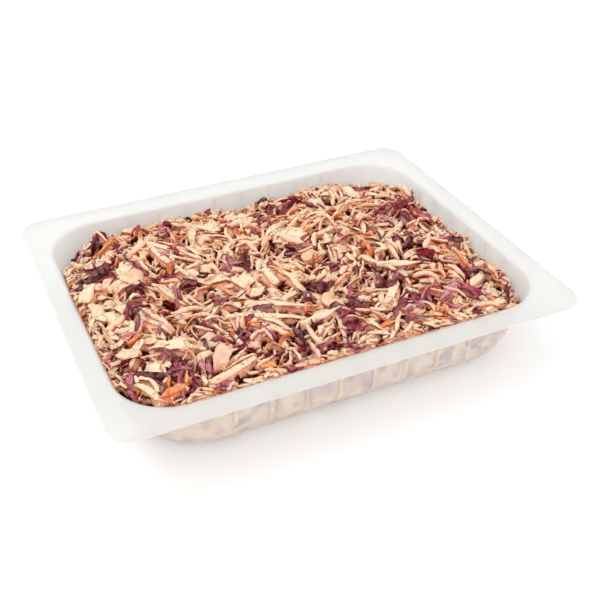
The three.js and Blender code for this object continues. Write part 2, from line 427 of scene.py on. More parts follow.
# At the right end, and behind at the left, it stands a little lower against the wall.
END_SLUMP = 7.0
END_SLUMP_FROM = (118.0, 146.0)
RIGHT_END_SHARE = 0.7
BEHIND = (20.0, 70.0)
# Shreds that are pushed in from the wall pile up beside it, so behind and at the right it aims lower.
PUSHED_UP = 3.2


def finished_height(x, y):
    """The heap's height with its hillocks, a spoonful across, and its rise along the rim."""
    beside = smoothstep(*RIM_BAND, wall_clearance(x, y, TRAY_HEIGHT))
    near_or_left = np.maximum(smoothstep(*NEAR_WALL_FROM, y), smoothstep(*LEFT_WALL_FROM, x))
    rise = RIM_RISE * beside * near_or_left * smoothstep(*LEFT_WALL_ENDS, y)
    slump = END_SLUMP * smoothstep(*END_SLUMP_FROM, np.abs(x))
    slump = slump * np.where(x > 0, RIGHT_END_SHARE, smoothstep(*BEHIND, y))
    slump = slump + PUSHED_UP * beside * (1 - near_or_left)
    hillock = HILLOCK * (hillocks.at(x, y) - 0.5) * (1 - HILLOCK_LOST_AT_WALL * beside)
    return heap_height(x, y) + hillock + rise - slump


print("height at the near wall:", round(float(finished_height(0.0, -110.0)), 1), "mm,",
      "at the back wall:", round(float(finished_height(0.0, 110.0)), 1), "mm")

# %% [markdown]
# ## The core
#
# Deep in the heap nobody sees single shreds, so a solid core fills it. It reaches just into the
# tray's wall, as a packed salad presses on the plastic. Its top lies a few layers of shreds below the
# surface, rough like pressed pulp. The shreds are laid on it, and dressing is poured over it last.

# %% The core's height
CORE_DEPTH = 10.0
CORE_DEPTH_AT_WALL = 0.8
WALL_BAND = 3.0
INTO_WALL = 0.45
# Where it meets the wall it stays this far below the flange, and rises inwards from there.
BELOW_RIM = 2.5
COARSE_PULP, FINE_PULP = 2.2, 1.6
ROUGH_FROM_WALL = 3.0
coarse_pulp = Speckle(7.0)
fine_pulp = Speckle(2.6)


def core_height(x, y):
    """Height of the core's rough top."""
    finished = finished_height(x, y)
    inside = wall_clearance(x, y, finished)
    depth = CORE_DEPTH + (CORE_DEPTH_AT_WALL - CORE_DEPTH) * smoothstep(WALL_BAND, 0.0, inside)
    rough = COARSE_PULP * (coarse_pulp.at(x, y) - 0.5) + FINE_PULP * (fine_pulp.at(x, y) - 0.5)
    below_rim = TRAY_HEIGHT - BELOW_RIM + np.maximum(0.0, inside)
    return np.minimum(finished - depth + rough * smoothstep(0.0, ROUGH_FROM_WALL, inside), below_rim)


print("core in the middle of the tray:", round(float(core_height(0.0, 0.0)), 1), "mm high")

# %% [markdown]
# ## Laying shreds
#
# A heap could be made with rigid-body physics, but thousands of soft strips would take an hour. A
# shred that lies on others does something simple: it tips until it rests on the two highest places
# either side of its middle, and its ends sag. So the heap's surface is kept as a map of heights, each
# shred is rested on that map and then drawn into it, and the next one lands on top.

# %% The map of heights
# Where the heap comes this near to the flange's height, the flange beside it counts as ground, so
# shreds can lie over the rim. Elsewhere the ground beyond the wall is left a little below the heap.
FULL_TO_RIM = 3.0
BELOW_HEAP = 1.0
CELL = 0.5
HALF_X, HALF_Y = 152.0, 118.0
map_x = np.arange(-HALF_X, HALF_X, CELL) + CELL / 2
map_y = np.arange(-HALF_Y, HALF_Y, CELL) + CELL / 2
grid_x, grid_y = np.meshgrid(map_x, map_y, indexing="ij")
inside_tray = wall_clearance(grid_x, grid_y, heap_height(grid_x, grid_y)) > 0.0
target = finished_height(grid_x, grid_y)
on_rim = target > TRAY_HEIGHT - FULL_TO_RIM
beside_tray = np.where(on_rim, TRAY_HEIGHT, heap_height(grid_x, grid_y) - BELOW_HEAP)
surface = np.where(inside_tray, core_height(grid_x, grid_y), beside_tray)
owner = np.full(surface.shape, -1)
print("map:", surface.shape, "cells of", CELL, "mm")


def cell_of(x, y):
    i = np.clip(((x + HALF_X) / CELL).astype(int), 0, len(map_x) - 1)
    j = np.clip(((y + HALF_Y) / CELL).astype(int), 0, len(map_y) - 1)
    return i, j


def ground(x, y):
    """Height of what is there already."""
    return surface[cell_of(x, y)]

# %% [markdown]
# Each kind of shred has its own sizes. White cabbage is cut 2 to 5 mm wide, red cabbage comes off a
# thinner leaf and curls more, and carrot goes through a coarse grater and comes out as thin rods.
# Leaf pieces are what the cutter misses, and chips are the short ends of everything. The numbers are
# ranges in millimetres, or how much a bend varies in radians.

# %% The kinds of shred
KINDS = {
    "white_cabbage_shreds": dict(
        count=960, form="strip", length=(9, 32), width=(2.8, 6.0), thick=(0.8, 1.5), curl=0.42, wiggle=0.20,
        arch=1.5, roll=0.60, twist=0.60, give=0.80, cup=0.14, crumple=0.08),
    "white_cabbage_leaves": dict(
        count=420, form="leaf", length=(7, 17), width=(4.5, 10), thick=(0.6, 1.1), curl=0.25, wiggle=0.08,
        arch=1.8, roll=0.55, twist=0.50, give=0.78, cup=0.16, crumple=0.09),
    "white_cabbage_sheets": dict(
        count=80, form="sheet", length=(13, 26), width=(8, 16), thick=(0.7, 1.1), curl=0.20, wiggle=0.08,
        arch=0.9, roll=0.22, twist=0.18, give=0.88, cup=0.09, crumple=0.06),
    "white_cabbage_threads": dict(
        count=1050, form="thread", length=(6, 19), width=(2.0, 4.0), thick=(0.8, 1.4), curl=0.40, wiggle=0.16,
        arch=1.3, roll=0.55, twist=0.50, give=0.78, cup=0.12, crumple=0.07),
    "white_cabbage_chips": dict(
        count=480, form="chip", length=(4, 10), width=(3.0, 6.5), thick=(0.8, 1.6), curl=0.30, wiggle=0.0,
        arch=0.6, roll=0.60, twist=0.40, give=0.60, cup=0.18, crumple=0.08),
    "red_cabbage_shreds": dict(
        count=830, form="strip", length=(7, 24), width=(1.8, 4.4), thick=(0.5, 0.9), curl=0.60, wiggle=0.24,
        arch=1.7, roll=0.80, twist=0.80, give=0.78, cup=0.26, crumple=0.13),
    "red_cabbage_leaves": dict(
        count=245, form="leaf", length=(6, 14), width=(4, 9), thick=(0.5, 0.8), curl=0.35, wiggle=0.10,
        arch=1.8, roll=0.65, twist=0.60, give=0.72, cup=0.26, crumple=0.15),
    "carrot_gratings": dict(
        count=650, form="rod", length=(5, 18), width=(1.8, 3.8), thick=(0.9, 1.6), curl=0.50, wiggle=0.18,
        arch=1.0, roll=0.35, twist=0.40, give=0.80, cup=0.10, crumple=0.08),
    "carrot_crumbs": dict(
        count=480, form="crumb", length=(2, 6.5), width=(1.5, 3.4), thick=(0.8, 1.4), curl=0.40, wiggle=0.0,
        arch=0.5, roll=0.40, twist=0.40, give=0.20, cup=0.10, crumple=0.08),
}
# Stations along a shred, and points across one face of it.
FORMS = {"strip": (11, 4), "thread": (8, 3), "leaf": (12, 7), "sheet": (18, 10), "chip": (6, 4),
         "rod": (10, 3), "crumb": (6, 3)}
for name, kind in KINDS.items():
    kind["laid"] = []
    kind["stains"] = name.startswith("white")
print("shreds to lay:", sum(kind["count"] for kind in KINDS.values()))

# %% [markdown]
# A shred's plan is a gently turning line. Its stations are closer together at the two ends, so that
# the cut ends keep their corners.

# %% One shred's line
END_SHARE = 0.02
# How quickly a shred's side-to-side wiggle turns, in radians along its length.
WIGGLE_TURN = 9.0
SETTLE_ROUNDS = 10


def station_shares(stations):
    inner = np.linspace(-0.5 + 3 * END_SHARE, 0.5 - 3 * END_SHARE, stations - 4)
    return np.concatenate([[-0.5, -0.5 + END_SHARE], inner, [0.5 - END_SHARE, 0.5]])


SHARES = {stations: station_shares(stations) for stations, across in FORMS.values()}


def plan_line(shape, heading):
    """The shred's line seen from above, with its middle at the origin."""
    share = SHARES[shape["stations"]]
    middle = (share[1:] + share[:-1]) / 2
    wiggle = shape["wiggle"] * np.sin(WIGGLE_TURN * middle + shape["phase"])
    turn = heading + shape["curl"] * middle * 2 + wiggle
    step = np.diff(share) * shape["length"]
    x = np.concatenate([[0.0], np.cumsum(np.cos(turn) * step)])
    y = np.concatenate([[0.0], np.cumsum(np.sin(turn) * step)])
    return x - np.interp(0.0, share, x), y - np.interp(0.0, share, y), share * shape["length"]


def rest_line(need, along, give):
    """Heights of a shred that has to clear `need`: a stiff line on two supports, less the ends' sag."""
    left, right = along < 0, along > 0
    reach = along[right][None, :] - along[left][:, None]
    over = (need[left][:, None] * along[right][None, :] - need[right][None, :] * along[left][:, None]) / reach
    i, j = np.unravel_index(over.argmax(), over.shape)
    slope = (need[right][j] - need[left][i]) / reach[i, j]
    stiff = over[i, j] + slope * along
    slack = need.copy()
    for _ in range(SETTLE_ROUNDS):
        slack[1:-1] = np.maximum(need[1:-1], (slack[:-2] + slack[2:]) / 2)
    return stiff * (1 - give) + slack * give, slope


print("stations along a strip:", [round(float(share), 2) for share in SHARES[FORMS["strip"][0]]])

# %% [markdown]
# To lay a shred, a few headings are tried and the lowest resting place wins, as a shred slides into
# a gap rather than balance on a ridge. One that would cross the tray's wall isn't laid there.

# %% Laying one shred
STEEPEST = 0.8
# A shred sinks this far into what it lies on, which is soft.
BEDDING = 0.45
# Its edge may press this far into the wall, and further once it lies over the rim.
WALL_GAP = -0.2
OVER_RIM = 0.3
NEAR_RIM = 2.0
HIGHEST = 61.5
PUSHES = 3
# What carries a shred is felt under its middle and near its edges.
EDGE_SHARE = 0.46
# How far it rolls with the slope under it, and the most that it rolls, in radians.
ROLLS_WITH_SLOPE = 0.7
MOST_ROLL = 1.2


def away_from_wall(x, y):
    """The level direction straight away from the nearest wall."""
    along_x = wall_clearance(x + 1, y, TRAY_HEIGHT) - wall_clearance(x - 1, y, TRAY_HEIGHT)
    along_y = wall_clearance(x, y + 1, TRAY_HEIGHT) - wall_clearance(x, y - 1, TRAY_HEIGHT)
    return along_x / 2, along_y / 2


print("one millimetre away from the right wall:", [round(float(v), 2) for v in away_from_wall(140.0, 0.0)])

# %% Resting one shred
def try_shred(x, y, shape, heading):
    """Rests a shred at one heading. One that would cross the wall is pushed in till it touches the wall."""
    dx, dy, along = plan_line(shape, heading)
    tx, ty = np.gradient(dx), np.gradient(dy)
    size = np.hypot(tx, ty)
    nx, ny = -ty / size, tx / size
    half = EDGE_SHARE * shape["width"]
    reach = half * abs(math.cos(shape["roll"]))
    offsets = np.array([-1.0, 0.0, 1.0])[:, None]
    for _ in range(PUSHES):
        px, py = x + dx, y + dy
        wide_x, wide_y = px + offsets * reach * nx, py + offsets * reach * ny
        under = ground(wide_x, wide_y)
        needed = WALL_GAP - OVER_RIM * smoothstep(TRAY_HEIGHT - NEAR_RIM, TRAY_HEIGHT, under)
        crossing = needed - wall_clearance(wide_x, wide_y, under)
        worst = np.unravel_index(crossing.argmax(), crossing.shape)
        if crossing[worst] <= 0.0:
            break
        inward_x, inward_y = away_from_wall(wide_x[worst], wide_y[worst])
        x += inward_x * crossing[worst]
        y += inward_y * crossing[worst]
    else:
        return None
    lean = (under[2] - under[0]).mean()
    roll = math.atan2(lean, 2 * half) * ROLLS_WITH_SLOPE + shape["roll"]
    roll = np.clip(roll, -MOST_ROLL, MOST_ROLL)
    arch = shape["arch"] * (1 - (2 * along / shape["length"]) ** 2)
    need = (under - offsets * half * math.sin(roll)).max(axis=0) - arch
    z, slope = rest_line(need, along, shape["give"])
    if abs(slope) > STEEPEST:
        return None
    z = z + arch + shape["thick"] / 2 - BEDDING
    if z.max() > HIGHEST:
        return None
    return dict(shape, x=px, y=py, z=z, nx=nx, ny=ny, roll=roll)


def draw_into_map(shred):
    """Raises the map to the shred's upper side, and notes whose the surface now is."""
    along = np.linspace(0, 1, max(2, int(shred["length"] / CELL)))
    across = np.linspace(-0.5, 0.5, max(2, int(shred["width"] / CELL) + 1))[:, None] * shred["width"]
    share = SHARES[shred["stations"]] + 0.5
    x, y, z, nx, ny = (np.interp(along, share, shred[key]) for key in ("x", "y", "z", "nx", "ny"))
    cos, sin = math.cos(shred["roll"]), math.sin(shred["roll"])
    i, j = cell_of(x + across * cos * nx, y + across * cos * ny)
    top = z + across * sin + shred["thick"] / 2
    higher = top > surface[i, j]
    np.maximum.at(surface, (i, j), top)
    owner[i[higher], j[higher]] = shred["number"]

# %% The shape of a new shred
# Sizes gather below the middle of their range, as short and narrow shreds are commoner.
SIZE_LOW_PULL = 1.6
SIZE_HIGH_PULL = SIZE_LOW_PULL * 1.5


def draw_size(low_high):
    low, high = low_high
    return low + (high - low) * chance.beta(SIZE_LOW_PULL, SIZE_HIGH_PULL)


LIVELY_SHARE = 0.14
ON_EDGE = 1.1
FULL_TURN = 6.3
MOST_GIVE = 0.9


def new_shape(kind):
    """A shred of one kind, drawn by chance from its range of sizes. A few stand on edge and bend more."""
    lively = chance.random() < LIVELY_SHARE
    life = 2.0 if lively else 1.0
    return dict(
        length=draw_size(kind["length"]), width=draw_size(kind["width"]), thick=draw_size(kind["thick"]),
        curl=life * chance.normal(0, kind["curl"]), wiggle=chance.normal(0, kind["wiggle"]),
        phase=chance.uniform(0, FULL_TURN), arch=life * chance.normal(0.3, 0.8) * kind["arch"],
        roll=ON_EDGE * chance.choice([-1, 1]) if lively else chance.normal(0, kind["roll"]),
        give=min(MOST_GIVE, kind["give"] * chance.uniform(0.5, 1.5)),
        cup=chance.normal(0, kind["cup"]), twist=chance.normal(0, kind["twist"]),
        stations=FORMS[kind["form"]][0], tone=chance.random(), coat=chance.random())


print("lively shreds:", round(100 * LIVELY_SHARE), "in a hundred")

# %% Laying it where it rests lowest
laid_count = 0


def lay(kind, x, y, shape, headings):
    """Lays one shred at its lowest heading. Returns whether it found a place."""
    global laid_count
    rests = [rest for rest in (try_shred(x, y, shape, h) for h in headings) if rest]
    if not rests:
        return False
    best = min(rests, key=lambda rest: rest["z"].mean())
    best["number"] = laid_count
    laid_count += 1
    draw_into_map(best)
    kind["laid"].append(best)
    return True

# %% [markdown]
# Salad isn't evenly mixed. Red cabbage clumps where a wedge fell apart, and carrot where the grater
# was emptied, so each kind has a few places where it is likelier to land.

# %% Where each kind gathers
# Each clump: kind of vegetable, x, y, radius in millimetres, how much likelier.
CLUMPS = [
    ("red", -128, 30, 24, 3), ("red", 110, 14, 20, 4), ("red", -56, -72, 24, 2.5),
    ("red", 88, -80, 20, 2.5), ("red", -120, -88, 22, 2.5), ("red", -20, -98, 24, 3),
    ("red", -68, -20, 18, 2), ("red", 92, -36, 16, 2), ("red", 30, 76, 20, 2), ("red", -30, 10, 14, 2.5),
    ("carrot", 0, 22, 26, 3), ("carrot", -143, 0, 16, 3), ("carrot", 62, -8, 22, 2),
    ("carrot", -112, -106, 18, 3), ("carrot", 118, -48, 16, 2.5), ("carrot", -84, -62, 16, 2),
    ("white", -34, -26, 22, 4), ("white", -134, -14, 18, 3), ("white", 88, 64, 24, 2.5),
    ("white", -100, -40, 22, 2.5), ("white", 106, -104, 16, 3), ("white", 0, 72, 22, 2),
    ("white", -104, -68, 18, 2), ("white", 46, -70, 18, 2),
]
# How strongly the clumps draw their kind: 0 would mix the salad evenly.
CLUMPING = 1.3


def liking(name, x, y):
    """How much likelier a kind is to land at a place."""
    value = 1.0
    for vegetable, cx, cy, radius, more in CLUMPS:
        if name.startswith(vegetable):
            value += CLUMPING * (more - 1.0) * math.exp(-((x - cx) ** 2 + (y - cy) ** 2) / radius ** 2)
    return value


print("clumps:", len(CLUMPS))

# %% [markdown]
# The heap is now filled the way a spoon fills it: the next shred goes where the surface is furthest
# below the shape it should have.

# %% Where there is room
BLOCK = 8
# A block counts where more than this share of it is inside the tray.
ROOM_SHARE = 0.25
block_x = map_x.reshape(-1, BLOCK).mean(axis=1)
block_y = map_y.reshape(-1, BLOCK).mean(axis=1)


def block_mean(values):
    return values.reshape(len(block_x), BLOCK, len(block_y), BLOCK).mean(axis=(1, 3))


room = block_mean(inside_tray.astype(float)) > ROOM_SHARE
print("blocks with room:", int(room.sum()), "of", BLOCK * CELL, "mm")

# %% Shreds that lie alike
# A wedge of cabbage falls apart into shreds that lie alike: how many more lie beside the first.
BUNDLES = (0, 0, 0, 0, 1, 2)


def lay_beside(kind, more):
    """Lays some more shreds beside the last one, with nearly its heading, curl and tone."""
    first = kind["laid"][-1]
    heading = math.atan2(first["y"][-1] - first["y"][0], first["x"][-1] - first["x"][0])
    placed = 0
    for step in range(more):
        shape = dict(new_shape(kind), curl=first["curl"] + chance.normal(0, 0.15), tone=first["tone"],
                     width=first["width"] * chance.uniform(0.7, 1.2))
        aside = (step // 2 + 1) * (-1) ** step * first["width"] * chance.uniform(0.7, 1.3)
        along = chance.normal(0, 0.15) * first["length"]
        x = first["x"].mean() - math.sin(heading) * aside + math.cos(heading) * along
        y = first["y"].mean() + math.cos(heading) * aside + math.sin(heading) * along
        placed += lay(kind, x, y, shape, heading + chance.normal(0, 0.12, 2))
    return placed


print("shreds that lie beside the first:", round(sum(BUNDLES) / len(BUNDLES), 2), "on average")

# %% Filling the heap
# How many headings are tried, how many places are picked at once, and when to give up.
HEADINGS = 4
BATCH = 16
MOST_TRIES = 14000
# Even a full place keeps this small chance of one more shred.
LEAST_WANTING = 0.02


def fill_heap(counts, keenness, full_at):
    """Lays so many of each kind. The keener, the more the deepest hollows are sought out."""
    names = list(counts)
    left = dict(counts)
    tries = 0
    while sum(left.values()) > 0 and tries < MOST_TRIES:
        if (target - surface)[inside_tray].mean() <= full_at:
            break
        if tries % BATCH == 0:
            gap = block_mean(np.where(inside_tray, target - surface, 0.0))
            wanting = np.where(room, np.clip(gap + 1.0, LEAST_WANTING, None) ** keenness, 0.0)
            spots = chance.choice(wanting.size, size=BATCH, p=(wanting / wanting.sum()).ravel())
        spot = spots[tries % BATCH]
        tries += 1
        x = block_x[spot // len(block_y)] + chance.uniform(-2, 2)
        y = block_y[spot % len(block_y)] + chance.uniform(-2, 2)
        weights = np.array([left[name] * liking(name, x, y) for name in names])
        name = names[chance.choice(len(names), p=weights / weights.sum())]
        shape = new_shape(KINDS[name])
        if lay(KINDS[name], x, y, shape, chance.uniform(0, np.pi, HEADINGS)):
            left[name] -= 1
            more = BUNDLES[chance.integers(len(BUNDLES))]
            left[name] -= lay_beside(KINDS[name], min(left[name], more))
    gap = (target - surface)[inside_tray]
    print("laid", laid_count, "after", tries, "tries; surface below its target by",
          round(float(gap.mean()), 2), "mm, spread", round(float(gap.std()), 2))


# The share of each kind that is kept for the very top: the longer pieces come last.
TOP_SHARE = {"white_cabbage_shreds": 0.62, "white_cabbage_leaves": 0.3, "white_cabbage_sheets": 0.6,
             "white_cabbage_threads": 0.5, "white_cabbage_chips": 0.2, "red_cabbage_shreds": 0.5,
             "red_cabbage_leaves": 0.4, "carrot_gratings": 0.4, "carrot_crumbs": 0.3}
FIRST_KEENNESS, FIRST_FULL_AT = 2.5, 2.0
kept_below = {name: round(kind["count"] * (1 - TOP_SHARE[name])) for name, kind in KINDS.items()}
fill_heap(kept_below, FIRST_KEENNESS, FIRST_FULL_AT)

# %% [markdown]
# Where the heap meets the tray, short pieces lie loosely along the wall. A walk round the wall lays
# them side by side, in two rows.

# %% Pieces along the wall
WALL_STEP = 3.6
WALL_ROWS = (0.8, 3.6)
WALL_TRIES = 4
WALL_KINDS = ("white_cabbage_chips", "white_cabbage_threads", "carrot_crumbs", "red_cabbage_shreds")
WALL_ODDS = (0.35, 0.35, 0.12, 0.18)
WALL_LENGTH = 11.0
WALL_ROLL = 0.5
WALL_HEADING = 0.6
PLAY_ALONG = 1.5
PLAY_INWARD = (-0.6, 1.0)


def line_the_wall():
    before = laid_count
    outline = wall_ring(MOUTH_LENGTH / 2, MOUTH_WIDTH / 2, MOUTH_CORNER, 0.0, across_rib=2)
    ahead = np.roll(outline, -1, axis=0)
    run = np.concatenate([[0.0], np.cumsum(np.hypot(*(ahead - outline)[:, :2].T))])
    loop = np.vstack([outline, outline[:1]])
    for inset in WALL_ROWS:
        for place in np.arange(0.0, run[-1], WALL_STEP):
            place += chance.uniform(-PLAY_ALONG, PLAY_ALONG)
            x, next_x = np.interp((place, place + 1), run, loop[:, 0])
            y, next_y = np.interp((place, place + 1), run, loop[:, 1])
            heading = math.atan2(next_y - y, next_x - x)
            depth = TRAY_HEIGHT - float(finished_height(x, y))
            inward = inset + chance.uniform(*PLAY_INWARD)
            inward += END_DRAFT * max(0.0, depth) * abs(math.sin(heading))
            x, y = x - math.sin(heading) * inward, y + math.cos(heading) * inward
            for _ in range(WALL_TRIES):
                kind = KINDS[WALL_KINDS[chance.choice(len(WALL_KINDS), p=WALL_ODDS)]]
                shape = new_shape(kind)
                shape.update(length=min(WALL_LENGTH, shape["length"]), roll=chance.normal(0, WALL_ROLL))
                if lay(kind, x, y, shape, heading + chance.normal(0, WALL_HEADING, HEADINGS)):
                    break
    print("laid along the wall:", laid_count - before)


line_the_wall()

# %% [markdown]
# Here and there the core still shows, most of all along the wall. Small pieces are dropped on the
# bare places until few are left.

# %% Small pieces on the bare places
PATCH_ROUNDS = 45
PATCHES_A_ROUND = 22
PATCH_KINDS = ("white_cabbage_threads", "white_cabbage_chips", "carrot_crumbs", "red_cabbage_shreds")
PATCH_ODDS = (0.52, 0.24, 0.14, 0.10)
PATCH_LENGTH = 13.0


def cover_bare_places():
    before = laid_count
    for _ in range(PATCH_ROUNDS):
        bare = np.argwhere((owner < 0) & inside_tray)
        for i, j in bare[chance.choice(len(bare), PATCHES_A_ROUND)]:
            kind = KINDS[PATCH_KINDS[chance.choice(len(PATCH_KINDS), p=PATCH_ODDS)]]
            shape = new_shape(kind)
            shape["length"] = min(PATCH_LENGTH, shape["length"])
            lay(kind, map_x[i], map_y[j], shape, chance.uniform(0, np.pi, HEADINGS))
    bare = ((owner < 0) & inside_tray).sum() / inside_tray.sum()
    print("laid on bare places:", laid_count - before, "with", round(100 * float(bare), 1), "% still bare")


cover_bare_places()

# %% [markdown]
# The rest of each kind goes on top. The deepest hollows are now sought out more keenly, and the heap
# may rise a little over the shape that it aims for.

# %% The top of the heap
TOP_KEENNESS, TOP_FULL_AT = 4.0, -0.6
kept_for_top = {name: round(kind["count"] * TOP_SHARE[name]) for name, kind in KINDS.items()}
fill_heap(kept_for_top, TOP_KEENNESS, TOP_FULL_AT)

# %% [markdown]
# The pieces that catch the eye are laid one by one: the broad leaves, the long strips, the dark folds
# that stand up near the corners. Each is given by its middle, its heading and its size.

# %% Pieces laid one by one
# Kind, x, y, heading in degrees, length, width, tone from 0 to 1, and what else is special.
BY_HAND = [
    ("red_cabbage_shreds", -129, 36, 33, 37.5, 5, 0.1, dict(arch=3.0, roll=0.5)),
    ("red_cabbage_leaves", -113, 82, 52, 18.5, 8, 0.15, dict(arch=6.0, roll=1.0)),
    ("carrot_gratings", -108, 74, 48, 34, 3.4, 0.5, dict(arch=7.0, curl=0.9)),
    ("white_cabbage_shreds", -76, 33, -58, 54, 3.8, 0.65, dict(arch=2.0, curl=0.2)),
    ("white_cabbage_shreds", -72, 36, -55, 44, 3.4, 0.85, dict(arch=3.0, curl=0.4)),
    ("white_cabbage_shreds", -80, 29, -60, 50, 4.0, 0.95, dict(arch=2.0, curl=0.3)),
    ("white_cabbage_shreds", -68, 39, -52, 40, 3.6, 0.8, dict(arch=2.0, curl=0.1)),
    ("white_cabbage_sheets", -38, -20, -52, 24, 13, 0.25, dict(arch=0.8)),
    ("white_cabbage_sheets", -27, -34, -64, 22, 14, 0.1, dict(arch=1.5)),
    ("white_cabbage_leaves", -40, -34, -20, 18, 9, 0.05, dict(arch=1.5)),
    ("white_cabbage_leaves", -22, -22, -75, 19, 9, 0.2, dict(arch=2.0)),
    ("white_cabbage_sheets", -54, -6, -40, 18, 11, 0.35, dict(arch=1.5)),
    ("white_cabbage_sheets", -137, -6, 84, 20, 11, 0.05, dict(arch=0.8)),
    ("white_cabbage_leaves", -138, 14, 60, 18, 11, 0.1, dict(arch=0.8)),
    ("white_cabbage_sheets", -108, 27, 70, 17, 11, 0.2, dict(arch=0.8)),
    ("white_cabbage_shreds", -91, -11, -79, 34, 5.0, 0.2, dict(arch=8.0, curl=0.9)),
    ("white_cabbage_shreds", -86, -14, -85, 28, 3.6, 0.4, dict(arch=6.0, curl=0.8)),
    ("white_cabbage_leaves", -111, -31, 20, 15, 12, 0.05, dict(arch=0.8)),
    ("white_cabbage_leaves", -104, -24, 75, 14, 9, 0.1, dict(arch=3.0, roll=0.5)),
    ("red_cabbage_shreds", -30, 7, -96, 34, 4.5, 0.35, dict(arch=3.0, roll=0.7)),
    ("red_cabbage_leaves", -37, 12, -80, 17, 6.5, 0.8, dict(arch=3.0)),
    ("red_cabbage_leaves", -72, -4, 15, 13.5, 6.5, 0.3, dict(arch=4.0, cup=0.4)),
    ("red_cabbage_shreds", -118, -14, 38, 20.5, 4, 0.3, dict(arch=4.0, curl=-0.9)),
    ("red_cabbage_shreds", -112, -24, -70, 22, 2.5, 0.7, dict(arch=2.0)),
    ("red_cabbage_leaves", -61, -34, 10, 11.5, 6.5, 0.55, dict(arch=3.0)),
    ("white_cabbage_shreds", -42, -64, -35, 52, 3.6, 0.1, dict(arch=1.0, curl=0.1)),
    ("white_cabbage_shreds", -26, -56, -12, 46, 4.2, 0.05, dict(arch=1.5, curl=0.1)),
    ("red_cabbage_leaves", -55, -77, -20, 15, 8, 0.85, dict(arch=2.0)),
    ("red_cabbage_leaves", -74, -70, 15, 13.5, 6, 0.75, dict(arch=2.5)),
    ("red_cabbage_shreds", -110, -94, -96, 32.5, 3, 0.6, dict(arch=3.0, roll=0.9)),
    ("red_cabbage_shreds", -104, -92, -90, 29, 3, 0.1, dict(arch=3.0, roll=0.8)),
    ("white_cabbage_shreds", -78, -103, 31, 34, 4.6, 0.75, dict(arch=2.0)),
    ("red_cabbage_shreds", -125, -84, -45, 30.5, 4.5, 0.15, dict(arch=2.5, roll=0.5)),
    ("red_cabbage_leaves", -139, -82, 80, 11.5, 6.5, 0.9, dict(arch=2.0)),
    ("white_cabbage_sheets", -108, -68, -54, 22, 10, 0.05, dict(arch=2.5)),
    ("white_cabbage_sheets", -132, -58, -30, 16, 10, 0.7, dict(arch=0.8)),
    ("white_cabbage_leaves", -128, -104, -40, 15, 9, 0.1, dict(arch=0.8)),
    ("carrot_gratings", -118, -104, 10, 18, 5.0, 0.15, dict(arch=2.0)),
    ("red_cabbage_leaves", 108, 22, 40, 18.5, 8, 0.3, dict(arch=7.0, cup=0.5, roll=0.6)),
    ("red_cabbage_leaves", 118, 12, -30, 17, 8, 0.7, dict(arch=6.0, cup=0.5)),
    ("red_cabbage_shreds", 104, 8, -60, 24, 4, 0.1, dict(arch=5.0, curl=1.2)),
    ("white_cabbage_sheets", 127, -2, 60, 20, 14, 0.05, dict(arch=3.0, roll=0.4)),
    ("red_cabbage_shreds", 129, -22, -47, 15.5, 3.5, 0.1, dict(arch=5.0, curl=1.4, roll=0.8)),
    ("white_cabbage_sheets", 120, -40, -100, 20, 10, 0.45, dict(arch=0.8)),
    ("carrot_gratings", 116, -48, -80, 26, 3.0, 0.3, dict(arch=3.0)),
    ("white_cabbage_shreds", 122, -70, 25, 44, 5.0, 0.1, dict(arch=2.5, roll=0.2)),
    ("red_cabbage_shreds", 123, -97, -112, 20.5, 4, 0.1, dict(arch=3.0, roll=0.8)),
    ("white_cabbage_sheets", 108, -104, 10, 19, 10, 0.0, dict(arch=1.5)),
    ("red_cabbage_leaves", 86, -84, 25, 20.5, 8.5, 0.95, dict(arch=3.0)),
    ("red_cabbage_leaves", 98, -88, -30, 15.5, 6.5, 0.6, dict(arch=4.0, cup=0.4)),
    ("red_cabbage_leaves", 36, -40, 20, 7, 6, 0.0, dict(arch=1.0)),
    ("red_cabbage_leaves", 92, -40, -60, 11.5, 6.5, 0.4, dict(arch=4.0, cup=0.5)),
    ("white_cabbage_shreds", 71, -42, -8, 33, 5.0, 0.05, dict(arch=1.5)),
    ("white_cabbage_shreds", 64, -58, -94, 24, 4.4, 0.1, dict(arch=2.0)),
    ("white_cabbage_shreds", -8, -78, 4, 34, 5.0, 0.1, dict(arch=1.5)),
    ("white_cabbage_leaves", 47, -73, 33, 28, 7, 0.1, dict(arch=0.8)),
    ("red_cabbage_leaves", -3, -107, 30, 13.5, 6.5, 0.55, dict(arch=2.5, cup=0.3)),
    ("red_cabbage_shreds", -29, -88, -60, 17, 3.5, 0.0, dict(arch=3.0, roll=0.7)),
    ("white_cabbage_leaves", 51, 7, 40, 20, 8, 0.35, dict(arch=3.0, cup=0.3)),
    ("white_cabbage_sheets", 91, 64, -40, 32, 13, 0.05, dict(arch=0.8)),
    ("red_cabbage_leaves", 42, 75, 10, 13.5, 6.5, 0.3, dict(arch=4.0, cup=0.4)),
    ("white_cabbage_leaves", -3, 76, 28, 24, 9, 0.1, dict(arch=0.8)),
    ("white_cabbage_sheets", -36, 66, -20, 22, 12, 0.25, dict(arch=0.8)),
    ("white_cabbage_sheets", 14, 24, -15, 22, 14, 0.3, dict(arch=0.8)),
    ("red_cabbage_leaves", -118, 74, 60, 14, 6, 0.05, dict(arch=5.0, roll=0.7)),
    ("red_cabbage_leaves", -62, 80, 55, 14, 6, 0.1, dict(arch=7.0, roll=0.9)),
]
# Headings a little to either side are tried as well, in degrees.
HEADING_PLAY = 6.0
# How much of a kind's usual cupping they keep: a broad leaf that cups looks like a stick.
HAND_CUP = 0.4
# How much dressing clings to them: dark leaves are left bare, or they wouldn't catch the eye.
COAT_BY_HAND = {"white": 0.55, "red": 0.3, "carrot": 0.3}


